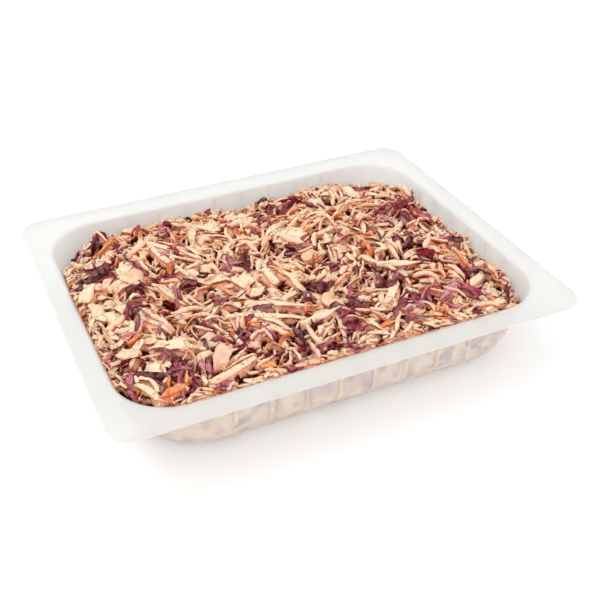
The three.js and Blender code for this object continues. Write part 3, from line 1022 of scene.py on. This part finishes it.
def lay_by_hand():
    placed = 0
    for name, x, y, heading, length, width, tone, special in BY_HAND:
        kind = KINDS[name]
        shape = new_shape(kind)
        shape.update(length=length, width=width, tone=tone, curl=0.2, roll=0.1)
        shape["cup"] *= HAND_CUP
        shape["coat"] = COAT_BY_HAND[name.split("_")[0]]
        shape.update(special)
        turns = np.radians(heading + HEADING_PLAY * np.array([0.0, -1.0, 1.0, -2.0, 2.0]))
        placed += lay(kind, x, y, shape, turns)
    print("laid by hand:", placed, "of", len(BY_HAND))


lay_by_hand()

# %% [markdown]
# A toss of the spoon brings some small pieces back on top of the broad ones, and breaks up their
# outlines.

# %% The last sprinkle
SPRINKLE = {"white_cabbage_threads": 90, "white_cabbage_chips": 50, "white_cabbage_shreds": 30,
            "red_cabbage_shreds": 100, "carrot_gratings": 45, "carrot_crumbs": 45}
SPRINKLED_OFF_WALL = 12.0


def sprinkle():
    before = laid_count
    names = [name for name, count in SPRINKLE.items() for _ in range(count)]
    for name in chance.permutation(names):
        x = chance.uniform(-MOUTH_LENGTH / 2, MOUTH_LENGTH / 2)
        y = chance.uniform(-MOUTH_WIDTH / 2, MOUTH_WIDTH / 2)
        if wall_clearance(x, y, TRAY_HEIGHT) > SPRINKLED_OFF_WALL:
            lay(KINDS[name], x, y, new_shape(KINDS[name]), chance.uniform(0, np.pi, HEADINGS))
    print("sprinkled:", laid_count - before)


sprinkle()

# %% [markdown]
# Shade is painted into the gaps: the deeper a place lies, the darker and redder it is coloured. How deep a
# place lies is measured from the heap's surface blurred over a few millimetres, which bridges the gaps as
# a cloth laid on the heap would.

# %% How deep a place lies
BLUR_CELLS = 6
# Beside the tray the bridged surface is taken to lie this far below the heap.
BESIDE_HEAP = 2.0


def blurred(values, reach):
    """A running mean over a square of cells, done as differences of sums."""
    for axis in (0, 1):
        padded = np.concatenate([np.repeat(np.take(values, [0], axis), reach + 1, axis), values,
                                 np.repeat(np.take(values, [-1], axis), reach, axis)], axis)
        sums = np.cumsum(padded, axis)
        count = values.shape[axis]
        high = np.take(sums, np.arange(2 * reach + 1, 2 * reach + 1 + count), axis)
        low = np.take(sums, np.arange(0, count), axis)
        values = (high - low) / (2 * reach + 1)
    return values


bridged = blurred(blurred(np.where(inside_tray, surface, target - BESIDE_HEAP), BLUR_CELLS), BLUR_CELLS)
deepest = float((bridged - surface)[inside_tray].max())
print("the deepest gap lies", round(deepest, 1), "mm below the bridged surface")

# %% Which shreds show
# A shred of which no more cells show than this is left out, as the others hide it. Beside the wall
# fewer will do.
LEAST_SEEN = 9
LEAST_SEEN_BY_WALL = 2
BY_WALL = 3.5
seen = np.bincount(owner[owner >= 0], minlength=laid_count)
print("shreds that show from above:", int((seen > LEAST_SEEN).sum()), "of", laid_count)


def shows(shred):
    """Whether enough of a shred shows. Beside the wall, where its edge shows too, less will do."""
    by_wall = wall_clearance(shred["x"].mean(), shred["y"].mean(), TRAY_HEIGHT) < BY_WALL
    return seen[shred["number"]] > (LEAST_SEEN_BY_WALL if by_wall else LEAST_SEEN)

# %% [markdown]
# Dressing creeps into the narrow gaps and leaves a soft fillet from shred to shred. It has the height
# of the map blurred over the width that it can bridge, and a hair less, so that it shows only where
# the surface is hollow. It takes its tint from the shreds beside it.

# %% Dressing between the shreds
# How far it can bridge and look for its tint, in cells of half a millimetre.
BRIDGE_CELLS = 2
TINT_CELLS = 3
# How far it lies below the blurred map.
DRESSING_BELOW = 1.9
# How far below the flange it starts at the wall, and how steeply it may rise from there.
WET_BELOW_RIM = 1.2
WET_RISE = 0.7
level = blurred(blurred(surface, BRIDGE_CELLS), BRIDGE_CELLS) - DRESSING_BELOW
from_wall = wall_clearance(grid_x, grid_y, TRAY_HEIGHT)
# At the wall it stays under the flange, so that the shreds' own edges show over the rim.
wet = np.minimum(level, TRAY_HEIGHT - WET_BELOW_RIM + WET_RISE * np.maximum(0.0, from_wall))


def share_near(vegetable):
    """How much of the surface round each cell is one vegetable's, from 0 to 1."""
    is_this = np.zeros(laid_count + 1)
    for name, kind in KINDS.items():
        if name.startswith(vegetable):
            is_this[[shred["number"] for shred in kind["laid"]]] = 1.0
    return blurred(is_this[owner], TINT_CELLS)


red_near, carrot_near = share_near("red"), share_near("carrot")
# Red cabbage bleeds: white shreds beside it are stained pink over a few millimetres.
STAIN_CELLS = 7
stain = blurred(blurred(red_near, STAIN_CELLS), STAIN_CELLS)
print("surface owned by red cabbage:", round(float(red_near[inside_tray].mean()), 3),
      "and by carrot:", round(float(carrot_near[inside_tray].mean()), 3))

# %% The core's finished top, and the shade beside a higher shred
def pulp_height(x, y):
    """The core's finished top, where dressing fills the gaps between the shreds."""
    return np.maximum(core_height(x, y), wet[cell_of(x, y)])


def highest_near(values, reach):
    """The highest value within so many cells."""
    for axis in (0, 1):
        values = np.max([np.roll(values, step, axis) for step in range(-reach, reach + 1)], axis=0)
    return values


# Right beside a higher shred it is dark as well, once that shred stands over a place by this much.
# It counts for less than true depth, as light still reaches a place from its other side.
OVERHEAD_CELLS = 2
FREE_OVERHEAD = 1.2
OVERHEAD_WEIGHT = 0.75
overhead = highest_near(surface, OVERHEAD_CELLS) - FREE_OVERHEAD


def depth_at(points):
    """How far points lie below the bridged surface, in millimetres."""
    return bridged[cell_of(points[..., 0], points[..., 1])] - points[..., 2]


def shade_at(points):
    """How deep in the shade points lie, in millimetres: below the surface, or beside a higher shred."""
    beside = overhead[cell_of(points[..., 0], points[..., 1])] - points[..., 2]
    return np.maximum(depth_at(points), OVERHEAD_WEIGHT * beside)


print("highest shred on the map:", round(float(surface[inside_tray].max()), 1), "mm")

# %% [markdown]
# ## Shreds as meshes
#
# Each shred is a flat tube that follows its line, rolled and twisted along the way. Curves with a
# bevel would do for a few strips, but arrays do it for all shreds of a kind at once. A strip has
# nearly parallel edges, while a leaf's two edges run straight from corner to corner as a knife left
# them, and its ends are cut aslant.

# %% The outline of a shred
CORNERS = 6
LEAST_LEAF_WIDTH = {"leaf": 0.66, "sheet": 0.8}
# How much a strip may narrow at an end, and how uneven its edges and its thickness are.
MOST_POINTED = 0.7
UNEVEN = 0.10
# How aslant an end is cut, and how ragged the cut is as a share of the width.
ASLANT = 0.7
RAGGED = 0.05


def corner_profile(count, share, low):
    """Widths that run straight from corner to corner, drawn by chance for each shred."""
    corners = chance.uniform(low, 1.0, (count, CORNERS))
    corners[:, [0, -1]] *= chance.uniform(0.5, 1.0, (count, 2))
    place = (share + 0.5) * (CORNERS - 1)
    first = np.clip(np.floor(place).astype(int), 0, CORNERS - 2)
    mix = place - first
    return corners[:, first] * (1 - mix) + corners[:, first + 1] * mix


def edge_widths(kind, count, share):
    """How far each edge lies from the middle line at each station, as a share of half the width."""
    if kind["form"] in LEAST_LEAF_WIDTH:
        least = LEAST_LEAF_WIDTH[kind["form"]]
        return [corner_profile(count, share, least) for _ in range(2)]
    point = chance.uniform(0.0, MOST_POINTED, (count, 2))
    taper = 1 - np.where(share < 0, point[:, :1], point[:, 1:]) * (np.abs(share) * 2) ** 4
    return [taper * (1 + chance.normal(0, UNEVEN, (count, len(share)))) for _ in range(2)]


def cut_ends(share, lateral, width):
    """How far each point is shifted along the shred, where its ends are cut aslant and ragged."""
    count, _, sides = lateral.shape
    toward_end = np.sign(share) * (np.abs(share) * 2) ** 4
    shift = chance.normal(0, ASLANT, (count, 1, 1)) * toward_end[:, None] * lateral
    ragged = chance.normal(0, RAGGED, (count, 2, sides)) * width
    for station, cut in ((0, 0), (1, 0), (-1, 1), (-2, 1)):
        shift[:, station] += ragged[:, cut]
    return shift


print("a leaf's edge, from end to end:", CORNERS, "corners")

# %% [markdown]
# No leaf is flat. It cups across its width, folds along a line, crumples in waves, and its surface
# flutters a little from point to point.

# %% Out of the flat
FOLD = 0.14
# The waves and the ripples along a shred, as ranges of radians along its length and across it.
WAVES_ALONG, WAVES_ACROSS = (5, 12), (-2, 2)
RIPPLES_ALONG, RIPPLES_ACROSS = (14, 26), (-4, 4)
# How uneven a surface is from point to point, in millimetres: broad leaves are blistered.
FLUTTER = {"leaf": 0.09, "sheet": 0.12}
FLUTTER_OF_OTHERS = 0.08


def bow_and_folds(kind, cup, share, u):
    """How far the points of a leaf lie out of its plane, as a share of its width."""
    each = (len(cup), 1, 1)
    along = share[:, None]
    fold_at = chance.uniform(-0.5, 0.5, each)
    fold = chance.normal(0, FOLD, each) * np.abs(u - fold_at)
    wave = np.sin(along * chance.uniform(*WAVES_ALONG, each) + u * chance.uniform(*WAVES_ACROSS, each)
                  + chance.uniform(0, FULL_TURN, each))
    ripple = np.sin(along * chance.uniform(*RIPPLES_ALONG, each) + u * chance.uniform(*RIPPLES_ACROSS, each))
    return cup * (u ** 2 - 0.4) + fold + kind["crumple"] * (wave + 0.5 * ripple)


def flutter(kind, count, stations, across):
    """Small unevenness in millimetres, the same above and below."""
    most = FLUTTER.get(kind["form"], FLUTTER_OF_OTHERS)
    above = chance.normal(0, most, (count, stations, across))
    return np.concatenate([above, above[..., ::-1]], axis=-1)


print("flutter:", FLUTTER, "and", FLUTTER_OF_OTHERS, "mm")

# %% [markdown]
# A shred's points lie along its two broad faces. They carry four values for the materials: the
# shred's own tone, how deep the point lies, for the painted shade in the gaps, how near it is to a cut
# edge, and how much dressing clings there.

# %% Shreds as meshes
FULL_DEPTH = 6.0
# White cabbage's tone, from cream to pink, is partly its own and partly its neighbours'.
OWN_TONE = 0.65
STAIN_TONE = 0.8
# The outermost points across, and how much thinner a shred is at its edges and its ends.
OUTERMOST = 0.97
THINNER_AT_EDGE = 0.45
THINNER_AT_END = 0.25


def frames_along(line, roll):
    """Directions ahead, sideways and up at each station of the shreds, after their roll."""
    ahead = np.gradient(line, axis=1)
    ahead /= np.linalg.norm(ahead, axis=-1, keepdims=True)
    level = np.stack([-ahead[..., 1], ahead[..., 0], np.zeros(line.shape[:2])], axis=-1)
    level /= np.linalg.norm(level, axis=-1, keepdims=True)
    upright = np.cross(ahead, level)
    cos, sin = np.cos(roll)[..., None], np.sin(roll)[..., None]
    return ahead, cos * level + sin * upright, cos * upright - sin * level


def tube_faces(count, stations, across):
    """The faces of so many flat tubes: their sides, and a row of faces over each end."""
    sides = 2 * across
    one = np.array(stitched(stations, sides, False, False))
    start = np.arange(count) * stations * sides
    faces = (one[None] + start[:, None, None]).reshape(-1, 4).tolist()
    for k in range(across - 1):
        cap = np.array([k, k + 1, sides - 2 - k, sides - 1 - k])
        faces += (start[:, None] + cap[::-1]).tolist()
        faces += (start[:, None] + (stations - 1) * sides + cap).tolist()
    return faces


def shred_meshes(kind):
    """Points, faces and tones of all the shreds of one kind that show."""
    laid = [shred for shred in kind["laid"] if shows(shred)]
    stations, across = FORMS[kind["form"]]
    count = len(laid)

    def every(key):
        return np.array([shred[key] for shred in laid])

    share = SHARES[stations]
    at_end = np.abs(share) * 2 > 0.999
    line = np.stack([every("x"), every("y"), every("z")], axis=-1)
    roll = every("roll")[:, None] + every("twist")[:, None] * share * 2
    ahead, side, up = frames_along(line, roll)

    u = np.linspace(OUTERMOST, -OUTERMOST, across)
    u = np.concatenate([u, u[::-1]])
    v = np.concatenate([np.ones(across), -np.ones(across)]) * (1 - THINNER_AT_EDGE * np.abs(u) ** 6)
    left_edge, right_edge = edge_widths(kind, count, share)
    width = every("width")[:, None, None]
    edge = np.where(u > 0, left_edge[..., None], right_edge[..., None])
    lateral = u * edge * (width / 2)
    thick = every("thick")[:, None, None] / 2 * (1 - THINNER_AT_END * at_end)[:, None]
    thick = thick * (1 + chance.normal(0, UNEVEN, (count, stations, 1)))
    shift = cut_ends(share, lateral, width)
    bow = bow_and_folds(kind, every("cup")[:, None, None], share, u)
    height = v * thick + bow * width + flutter(kind, count, stations, across)
    points = (line[:, :, None, :] + side[:, :, None, :] * lateral[..., None]
              + up[:, :, None, :] * height[..., None] + ahead[:, :, None, :] * shift[..., None])

    tones = np.empty(points.shape[:3] + (4,))
    tones[..., 0] = every("tone")[:, None, None]
    if kind["stains"]:
        near = stain[cell_of(points[..., 0], points[..., 1])]
        tones[..., 0] = OWN_TONE * tones[..., 0] + STAIN_TONE * near
    # How deep in the shade a point lies: the materials paint it darker and redder for this.
    tones[..., 1] = np.clip(shade_at(points) / FULL_DEPTH, 0, 1)
    tones[..., 2] = np.maximum(u ** 2, at_end[:, None])
    tones[..., 3] = every("coat")[:, None, None]
    return points.reshape(-1, 3), tube_faces(count, stations, across), tones.reshape(-1, 4)


print("a point", FULL_DEPTH, "mm below the surface counts as fully deep")

# %% [markdown]
# ## Dressed vegetables
#
# All the shreds share one way of looking wet: the vegetable's own colour, a film of creamy dressing
# that clings in patches, a painted shade, darker and redder down in the gaps and on steep sides, for the
# light that bounces from shred to shred there, and a soft shine. Only the vegetable's colours differ.

# %% The parts of a dressed vegetable
DRESSING = "ffdabc"
# Painted shade: the colour that gaps and steep sides turn to, and the nearly black colour of the deepest
# gaps.
SHADE = "d4602a"
DEEP_SHADE = "4c0c00"
# Dill dust: how many of the 2 mm cells hold a speck, and how strongly it colours.
SPECK = "5c5426"
SPECK_SHARE = 0.4
SPECK_STRENGTH = 0.45


def flesh(tree, place, tone, colours, streak):
    """The vegetable's own colour: streaks as it grew, a slow drift, and the shred's own tone."""
    grown = noise(tree, place, streak, 4.0, 0.62).outputs["Fac"]
    drift = noise(tree, place, 24.0, 1.0).outputs["Fac"]
    blend = computed(tree, "MULTIPLY_ADD", computed(tree, "ADD", grown, drift), 1.2, tone)
    return add_ramp(tree, stretched(tree, blend, 1.0, 2.6), colours)


def film_cover(tree, patch, coat, rim, upward, least, most, at_edge):
    """How much of the film lies on a place: in patches, and less on undersides and cut edges, which also
    paints tops paler than sides as light from above would.
    """
    wet = computed(tree, "MULTIPLY_ADD", coat, 0.5, patch)
    cover = stretched(tree, wet, 0.5, 0.85, least, most)
    on_top = stretched(tree, upward, 0.0, 0.85, 0.2)
    on_flat = stretched(tree, rim, 0.4, 1.0, 1.0, at_edge)
    return computed(tree, "MULTIPLY", cover, computed(tree, "MULTIPLY", on_flat, on_top))


def dill_dust(tree, place):
    """A speck in some of the cells of a fine mosaic."""
    grit = add_node(tree, "ShaderNodeTexVoronoi", {"Vector": place, "Scale": per_metre(2.0)})
    near_dot = stretched(tree, grit.outputs["Distance"], 0.34, 0.2)
    chosen = computed(tree, "LESS_THAN", grit.outputs["Color"], SPECK_SHARE)
    return computed(tree, "MULTIPLY", computed(tree, "MULTIPLY", near_dot, chosen), SPECK_STRENGTH)


def with_painted_shade(tree, colour, shade, deep, upward):
    """Painted shade: warmer and darker on steep sides and down in the gaps, and nearly black at the bottom.
    """
    sideways = stretched(tree, upward, 0.6, 0.1, 0.0, 0.26)
    warm = stretched(tree, computed(tree, "ADD", deep, sideways), 0.27, 0.52, 0.0, 0.82)
    shaded = mixed(tree, warm, colour, linear(shade))
    return mixed(tree, stretched(tree, deep, 0.34, 0.56, 0.0, 0.98), shaded, linear(DEEP_SHADE))


def blistered(tree, place):
    """Bumps: broad blisters, and on them the fine grain of the cut."""
    blister, grain = noise(tree, place, 5.0, 1.0), noise(tree, place, 1.6, 3.0, 0.55)
    waves = add_node(tree, "ShaderNodeBump",
                     {"Height": blister.outputs["Fac"], "Strength": 0.7, "Distance": 1.6 * MM})
    bump = add_node(tree, "ShaderNodeBump",
                    {"Height": grain.outputs["Fac"], "Strength": 0.6, "Distance": 0.6 * MM,
                     "Normal": waves.outputs["Normal"]})
    return bump.outputs["Normal"]


print("dill dust in", SPECK_SHARE, "of the 2 mm cells")

# %% Material: dressed vegetables
def dressed(name, colours, edge, edge_amount, film_least, film_most, film_at_edge,
            film=DRESSING, shade=SHADE, streak=5.0):
    """A cut vegetable in dressing. The film covers it where a patchy noise is over a threshold."""
    material, tree, output = new_material(name)
    place = add_node(tree, "ShaderNodeTexCoord").outputs["Object"]
    given = add_node(tree, "ShaderNodeAttribute", attribute_name="shred")
    value = add_node(tree, "ShaderNodeSeparateColor", {"Color": given.outputs["Color"]})
    tone, deep, rim = (value.outputs[key] for key in ("Red", "Green", "Blue"))
    normal = add_node(tree, "ShaderNodeNewGeometry").outputs["Normal"]
    upward = add_node(tree, "ShaderNodeSeparateXYZ", {"Vector": normal}).outputs["Z"]
    patch = noise(tree, place, 3.6, 3.0, 0.6).outputs["Fac"]

    own = flesh(tree, place, tone, colours, streak)
    # Near the cut edges the colour turns to the edge colour: partly the cut's own colour, partly painted
    # shade, as the edges mostly lie in shade.
    cut = mixed(tree, stretched(tree, rim, 0.35, 0.95, 0.0, edge_amount), own, linear(edge))
    cover = film_cover(tree, patch, given.outputs["Alpha"], rim, upward, film_least, film_most, film_at_edge)
    coated = mixed(tree, cover, cut, linear(film))
    specked = mixed(tree, dill_dust(tree, place), coated, linear(SPECK))
    shader = add_node(tree, "ShaderNodeBsdfPrincipled", {
        "Base Color": with_painted_shade(tree, specked, shade, deep, upward),
        "Roughness": stretched(tree, patch, 0.3, 0.7, 0.26, 0.5), "IOR": 1.42,
        "Specular IOR Level": stretched(tree, deep, 0.1, 0.5, 0.09, 0.0),
        "Subsurface Weight": 0.5, "Subsurface Radius": (1.0, 0.4, 0.2), "Subsurface Scale": 1.6 * MM,
        "Normal": blistered(tree, place)})
    tree.links.new(shader.outputs["BSDF"], output.inputs["Surface"])
    return material

# %% The vegetables
white_cabbage = dressed("white cabbage, shredded and dressed",
                        ["ffeace", "ffe0bd", "fed4ac", "fcc8a6", "fabcaa", "f1aca4", "cc7674"],
                        "e08a66", 0.3, 0.2, 0.95, 0.6, streak=3.6)
# Red cabbage has a pinker film, and its own colour of painted shade for its gaps and steep sides.
red_cabbage = dressed("red cabbage, shredded and dressed",
                      ["2e0204", "520812", "801a30", "b24e64", "d49098", "f6cab8"], "4e0e12", 0.45, 0.0, 0.4,
                      0.1, "e4aeb0", "540a04", streak=2.4)
carrot = dressed("carrot, grated and dressed",
                 ["d2580e", "e26c22", "ea843c", "f29e5a", "f6ba88"], "dc6018", 0.4, 0.05, 0.65, 0.5,
                 streak=4.0)
FINISHES = {"white": (white_cabbage, "white_cabbage"), "red": (red_cabbage, "red_cabbage"),
            "carrot": (carrot, "carrot")}
print("vegetables:", list(FINISHES))

# %% Making the shreds
# Edges sharper than this many degrees stay crisp. Dressing rounds white cabbage off altogether.
CREASES = {"white": 0, "red": 70, "carrot": 60}


def make_shreds():
    triangles = 0
    for name, kind in KINDS.items():
        vegetable = name.split("_")[0]
        material, slot = FINISHES[vegetable]
        points, faces, tones = shred_meshes(kind)
        piece_from(name, points, faces, material, tones, CREASES[vegetable])
        triangles += 2 * len(faces)
        print(name, len(kind["laid"]), "shreds,", 2 * len(faces), "triangles")
    print("triangles in all shreds:", triangles)


make_shreds()

# %% [markdown]
# ## The packed core
#
# Where the salad presses on the plastic it shows as soft patches of cream, peach and lilac. Its top is
# the skin of dressing between the shreds: cream, tinted by the shreds beside it, and painted darker where
# it lies deep, as shade. One material does both, told apart by a value that is 0 on the sides and 1 on top.

# %% Material: packed salad
def packed_salad():
    material, tree, output = new_material("packed salad, pressed on the tray")
    place = add_node(tree, "ShaderNodeTexCoord").outputs["Object"]
    given = add_node(tree, "ShaderNodeAttribute", attribute_name="shred")
    value = add_node(tree, "ShaderNodeSeparateColor", {"Color": given.outputs["Color"]})
    deep = value.outputs["Green"]
    warp = noise(tree, place, 16.0, 3.0).outputs["Color"]
    drift = add_node(tree, "ShaderNodeVectorMath", {0: warp, 1: (0.012,) * 3}, operation="MULTIPLY")
    bent = add_node(tree, "ShaderNodeVectorMath", {0: place, 1: drift.outputs[0]}, operation="ADD")
    patches = add_node(tree, "ShaderNodeTexVoronoi",
                       {"Vector": bent.outputs[0], "Scale": per_metre(5.5), "Smoothness": 0.2},
                       feature="SMOOTH_F1")
    pressed = add_ramp(tree, patches.outputs["Color"],
                       ["6c3048", "a8687c", "dc9c94", "fae0b8", "f8cc98", "ee9860", "fce8b8"])
    smear = noise(tree, place, 3.2, 3.0, 0.6).outputs["Fac"]
    cream = add_ramp(tree, smear, ["803038", "c06c60", "e8a284", "f6c4a2", "fcdabc", "fee8d0"])
    purple = computed(tree, "MULTIPLY", value.outputs["Blue"], 0.8)
    orange = computed(tree, "MULTIPLY", given.outputs["Alpha"], 0.8)
    stained = mixed(tree, purple, cream, linear("98405c"))
    tinted = mixed(tree, orange, stained, linear("e4854c"))
    # Painted shade: the skin turns darker and redder the deeper it lies, and nearly black at the bottom.
    shaded = mixed(tree, stretched(tree, deep, 0.2, 0.55, 0.0, 0.8), tinted, linear("a03818"))
    pulp = mixed(tree, stretched(tree, deep, 0.26, 0.48), shaded, linear("450a02"))
    top = mixed(tree, value.outputs["Red"], pressed, pulp)
    shader = add_node(tree, "ShaderNodeBsdfPrincipled", {
        "Base Color": top, "Roughness": 0.5, "IOR": 1.42, "Specular IOR Level": 0.08})
    tree.links.new(shader.outputs["BSDF"], output.inputs["Surface"])
    return material

# %% The core
CORE_RINGS = 130
RINGS_OUTWARD = 0.8
LEVELS_ON_WALL = 14
# The innermost ring, as a share of the outermost.
INNERMOST = 0.004
# Where its top meets the leaning wall is found in a few rounds, and stays this far below the flange.
CONTACT_ROUNDS = 4
CONTACT_BELOW_RIM = 0.2


def plain_ring(half_length, half_width, corner, z, rib=0.0):
    return wall_ring(half_length, half_width, corner, z, rib, across_rib=9, between=7, corner_steps=30)


def pack_core():
    stack = np.array(face_rings(INTO_WALL, plain_ring))[::-1]
    level_z = stack[:, 0, 2]
    count = stack.shape[1]

    def on_wall(z):
        x = np.array([np.interp(z[k], level_z, stack[:, k, 0]) for k in range(count)])
        y = np.array([np.interp(z[k], level_z, stack[:, k, 1]) for k in range(count)])
        return x, y

    contact = np.full(count, TRAY_HEIGHT - RIM_ROLL)
    for _ in range(CONTACT_ROUNDS):
        x, y = on_wall(contact)
        contact = np.minimum(core_height(x, y), TRAY_HEIGHT - CONTACT_BELOW_RIM)
    rings = [ring for ring in stack if ring[0, 2] < BASE_ROLL]
    low = rings[-1][0, 2]
    for share in np.linspace(0.0, 1.0, LEVELS_ON_WALL + 1)[1:]:
        z = low + (contact - low) * share
        rings.append(np.column_stack([*on_wall(z), z]))
    first_on_top = (len(rings) - 1) * count
    edge = rings[-1]
    for share in np.linspace(1.0, 0.0, CORE_RINGS)[1:] ** RINGS_OUTWARD:
        ring = edge * max(share, INNERMOST)
        ring[:, 2] = pulp_height(ring[:, 0], ring[:, 1])
        rings.append(ring)
    faces = stitched(len(rings), count)
    points = np.concatenate(rings)
    tones = np.zeros((len(points), 4))
    top = points[first_on_top:]
    under = cell_of(top[:, 0], top[:, 1])
    # How deep the top lies, which its material paints as shade.
    depth = np.clip(depth_at(top) / FULL_DEPTH, 0, 1)
    tones[first_on_top:] = np.column_stack([np.ones(len(top)), depth, red_near[under], carrot_near[under]])
    core = piece_from("packed_core", points, faces, packed_salad(), tones)
    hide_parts("coleslaw")
    print("core:", 2 * len(faces), "triangles")


pack_core()

# %% [markdown]
# ## Dill
#
# Chopped dill sticks to the dressing as fine dark threads, a few millimetres long. Each is a thin
# bent blade laid on the map of heights wherever the shred under it is level enough.

# %% Material: chopped dill
def chopped_dill():
    material, tree, output = new_material("dill, chopped")
    place = add_node(tree, "ShaderNodeTexCoord").outputs["Object"]
    colour = mixed(tree, noise(tree, place, 9.0).outputs["Fac"], linear("3a3c1c"), linear("757038"))
    shader = add_node(tree, "ShaderNodeBsdfPrincipled",
                      {"Base Color": colour, "Roughness": 0.55, "IOR": 1.4})
    tree.links.new(shader.outputs["BSDF"], output.inputs["Surface"])
    return material

# %% The dill
DILL_COUNT = 3400
DILL_LENGTH = (1.0, 3.0)
DILL_WIDTH = 0.34
DILL_BEND = 0.25
DILL_LIFT = 0.12
# It lies where the ground under it is this level, this far off the wall, and not too deep in a gap.
LEVEL_ENOUGH = 1.1
DILL_OFF_WALL = 2.5
DEEPEST_DILL = 4.0


def scatter_dill():
    spots = np.argwhere(inside_tray)
    picks = spots[chance.choice(len(spots), DILL_COUNT * 4, replace=False)]
    x, y = map_x[picks[:, 0]], map_y[picks[:, 1]]
    heading = chance.uniform(0, 2 * np.pi, len(x))
    length = chance.uniform(*DILL_LENGTH, len(x))
    share = np.array([-0.5, 0.0, 0.5])
    bend = chance.normal(0, DILL_BEND, len(x))
    px = x[:, None] + np.cos(heading)[:, None] * length[:, None] * share
    py = y[:, None] + np.sin(heading)[:, None] * length[:, None] * share
    px[:, 1] += -np.sin(heading) * bend * length
    py[:, 1] += np.cos(heading) * bend * length
    pz = ground(px, py) + DILL_LIFT
    fits = np.ptp(pz, axis=1) < LEVEL_ENOUGH
    fits &= wall_clearance(x, y, pz[:, 1]) > DILL_OFF_WALL
    fits &= target[cell_of(x, y)] - pz[:, 1] < DEEPEST_DILL
    keep = np.flatnonzero(fits)[:DILL_COUNT]
    line = np.stack([px, py, pz], axis=-1)[keep]
    nx, ny = -np.sin(heading[keep]), np.cos(heading[keep])
    half = DILL_WIDTH / 2 * np.array([0.5, 1.0, 0.35])
    section = np.array([[1, 0], [0, 1], [-1, 0], [0, -1]])
    points = np.repeat(line[:, :, None, :], 4, axis=2)
    points[..., 0] += nx[:, None, None] * section[:, 0] * half[:, None]
    points[..., 1] += ny[:, None, None] * section[:, 0] * half[:, None]
    points[..., 2] += section[:, 1] * half[:, None] * 0.8
    one = np.array(stitched(3, 4, False, False))
    start = np.arange(len(keep)) * 12
    faces = (one[None] + start[:, None, None]).reshape(-1, 4).tolist()
    faces += (start[:, None] + np.arange(4)[::-1]).tolist()
    faces += (start[:, None] + 8 + np.arange(4)).tolist()
    piece_from("dill_threads", points.reshape(-1, 3), faces, chopped_dill())
    print("dill:", len(keep), "threads")


scatter_dill()

# %% [markdown]
# ## Table, light and camera
#
# A plain pale table with a weak painted glow that pales its shadows, one broad soft light high on the
# left, and a pale surround that fills the shadows.

# %% Table
# Half the table's length in metres, and its weak glow: painted light that keeps the table pale and washes out
# its shadows.
TABLE_HALF = 3.0
TABLE_PAINTED_GLOW = 0.1


def lay_table():
    corners = [(x * TABLE_HALF, y * TABLE_HALF, 0) for x, y in ((-1, -1), (1, -1), (1, 1), (-1, 1))]
    mesh = bpy.data.meshes.new("table")
    mesh.from_pydata(corners, [], [(0, 1, 2, 3)])
    table = bpy.data.objects.new("table", mesh)
    bpy.context.scene.collection.objects.link(table)
    material, tree, output = new_material("white laminate with a painted glow")
    shader = add_node(tree, "ShaderNodeBsdfPrincipled", {
        "Base Color": linear("f8f8f8"), "Roughness": 0.7,
        "Emission Color": linear("ffffff"), "Emission Strength": TABLE_PAINTED_GLOW})
    tree.links.new(shader.outputs["BSDF"], output.inputs["Surface"])
    mesh.materials.append(material)
    print("table:", 2 * TABLE_HALF, "m square")


lay_table()

# %% Light
# Both lights aim at the middle of the heap. Places and sizes are in metres, powers in watts.
AIM = (0, 0, 0.03)
SURROUND = 0.92


def soft_light(name, place, size, power):
    light = bpy.data.lights.new(name, "AREA")
    light.shape = "DISK"
    light.size = size
    light.energy = power
    lamp = bpy.data.objects.new(name, light)
    bpy.context.scene.collection.objects.link(lamp)
    lamp.location = place
    direction = np.array(AIM, float) - np.array(place, float)
    lamp.rotation_euler = Vector(direction).to_track_quat("-Z", "Y").to_euler()
    print("light:", name, power, "W")


soft_light("key", (-0.7, 0.5, 1.5), 1.0, 9.0)
soft_light("fill", (0.3, -1.7, 0.8), 1.2, 8.0)
world = bpy.data.worlds.new("pale surround")
world.use_nodes = True
world.node_tree.nodes["Background"].inputs["Color"].default_value = (1, 1, 1, 1)
world.node_tree.nodes["Background"].inputs["Strength"].default_value = SURROUND
bpy.context.scene.world = world
bpy.context.scene.view_settings.view_transform = "Standard"

# %% [markdown]
# The camera stands in front of the tray, to the left, and looks down on it. Its focal length is given
# in pixels of a square picture, and its sensor width turns that to millimetres.

# %% Camera
PICTURE = 600
FOCAL_PIXELS = 932.3
CAMERA_PLACE = (-0.22376, -0.51342, 0.40963)
AZIMUTH = -24.67
ELEVATION = 35.07
ROLL = 0.31


def set_camera():
    camera = bpy.data.cameras.new("camera")
    camera.sensor_width = 36.0
    camera.lens = FOCAL_PIXELS / PICTURE * camera.sensor_width
    eye = bpy.data.objects.new("camera", camera)
    bpy.context.scene.collection.objects.link(eye)
    turn, lift, roll = (math.radians(angle) for angle in (AZIMUTH, ELEVATION, ROLL))
    back = np.array([math.sin(turn) * math.cos(lift), -math.cos(turn) * math.cos(lift), math.sin(lift)])
    right = np.cross(-back, (0, 0, 1))
    right /= np.linalg.norm(right)
    down = np.cross(-back, right)
    across = right * math.cos(roll) + down * math.sin(roll)
    downward = down * math.cos(roll) - right * math.sin(roll)
    matrix = np.eye(4)
    matrix[:3, 0], matrix[:3, 1], matrix[:3, 2], matrix[:3, 3] = across, -downward, back, CAMERA_PLACE
    eye.matrix_world = Matrix(matrix.tolist())
    bpy.context.scene.camera = eye
    print("lens:", round(camera.lens, 1), "mm")


set_camera()
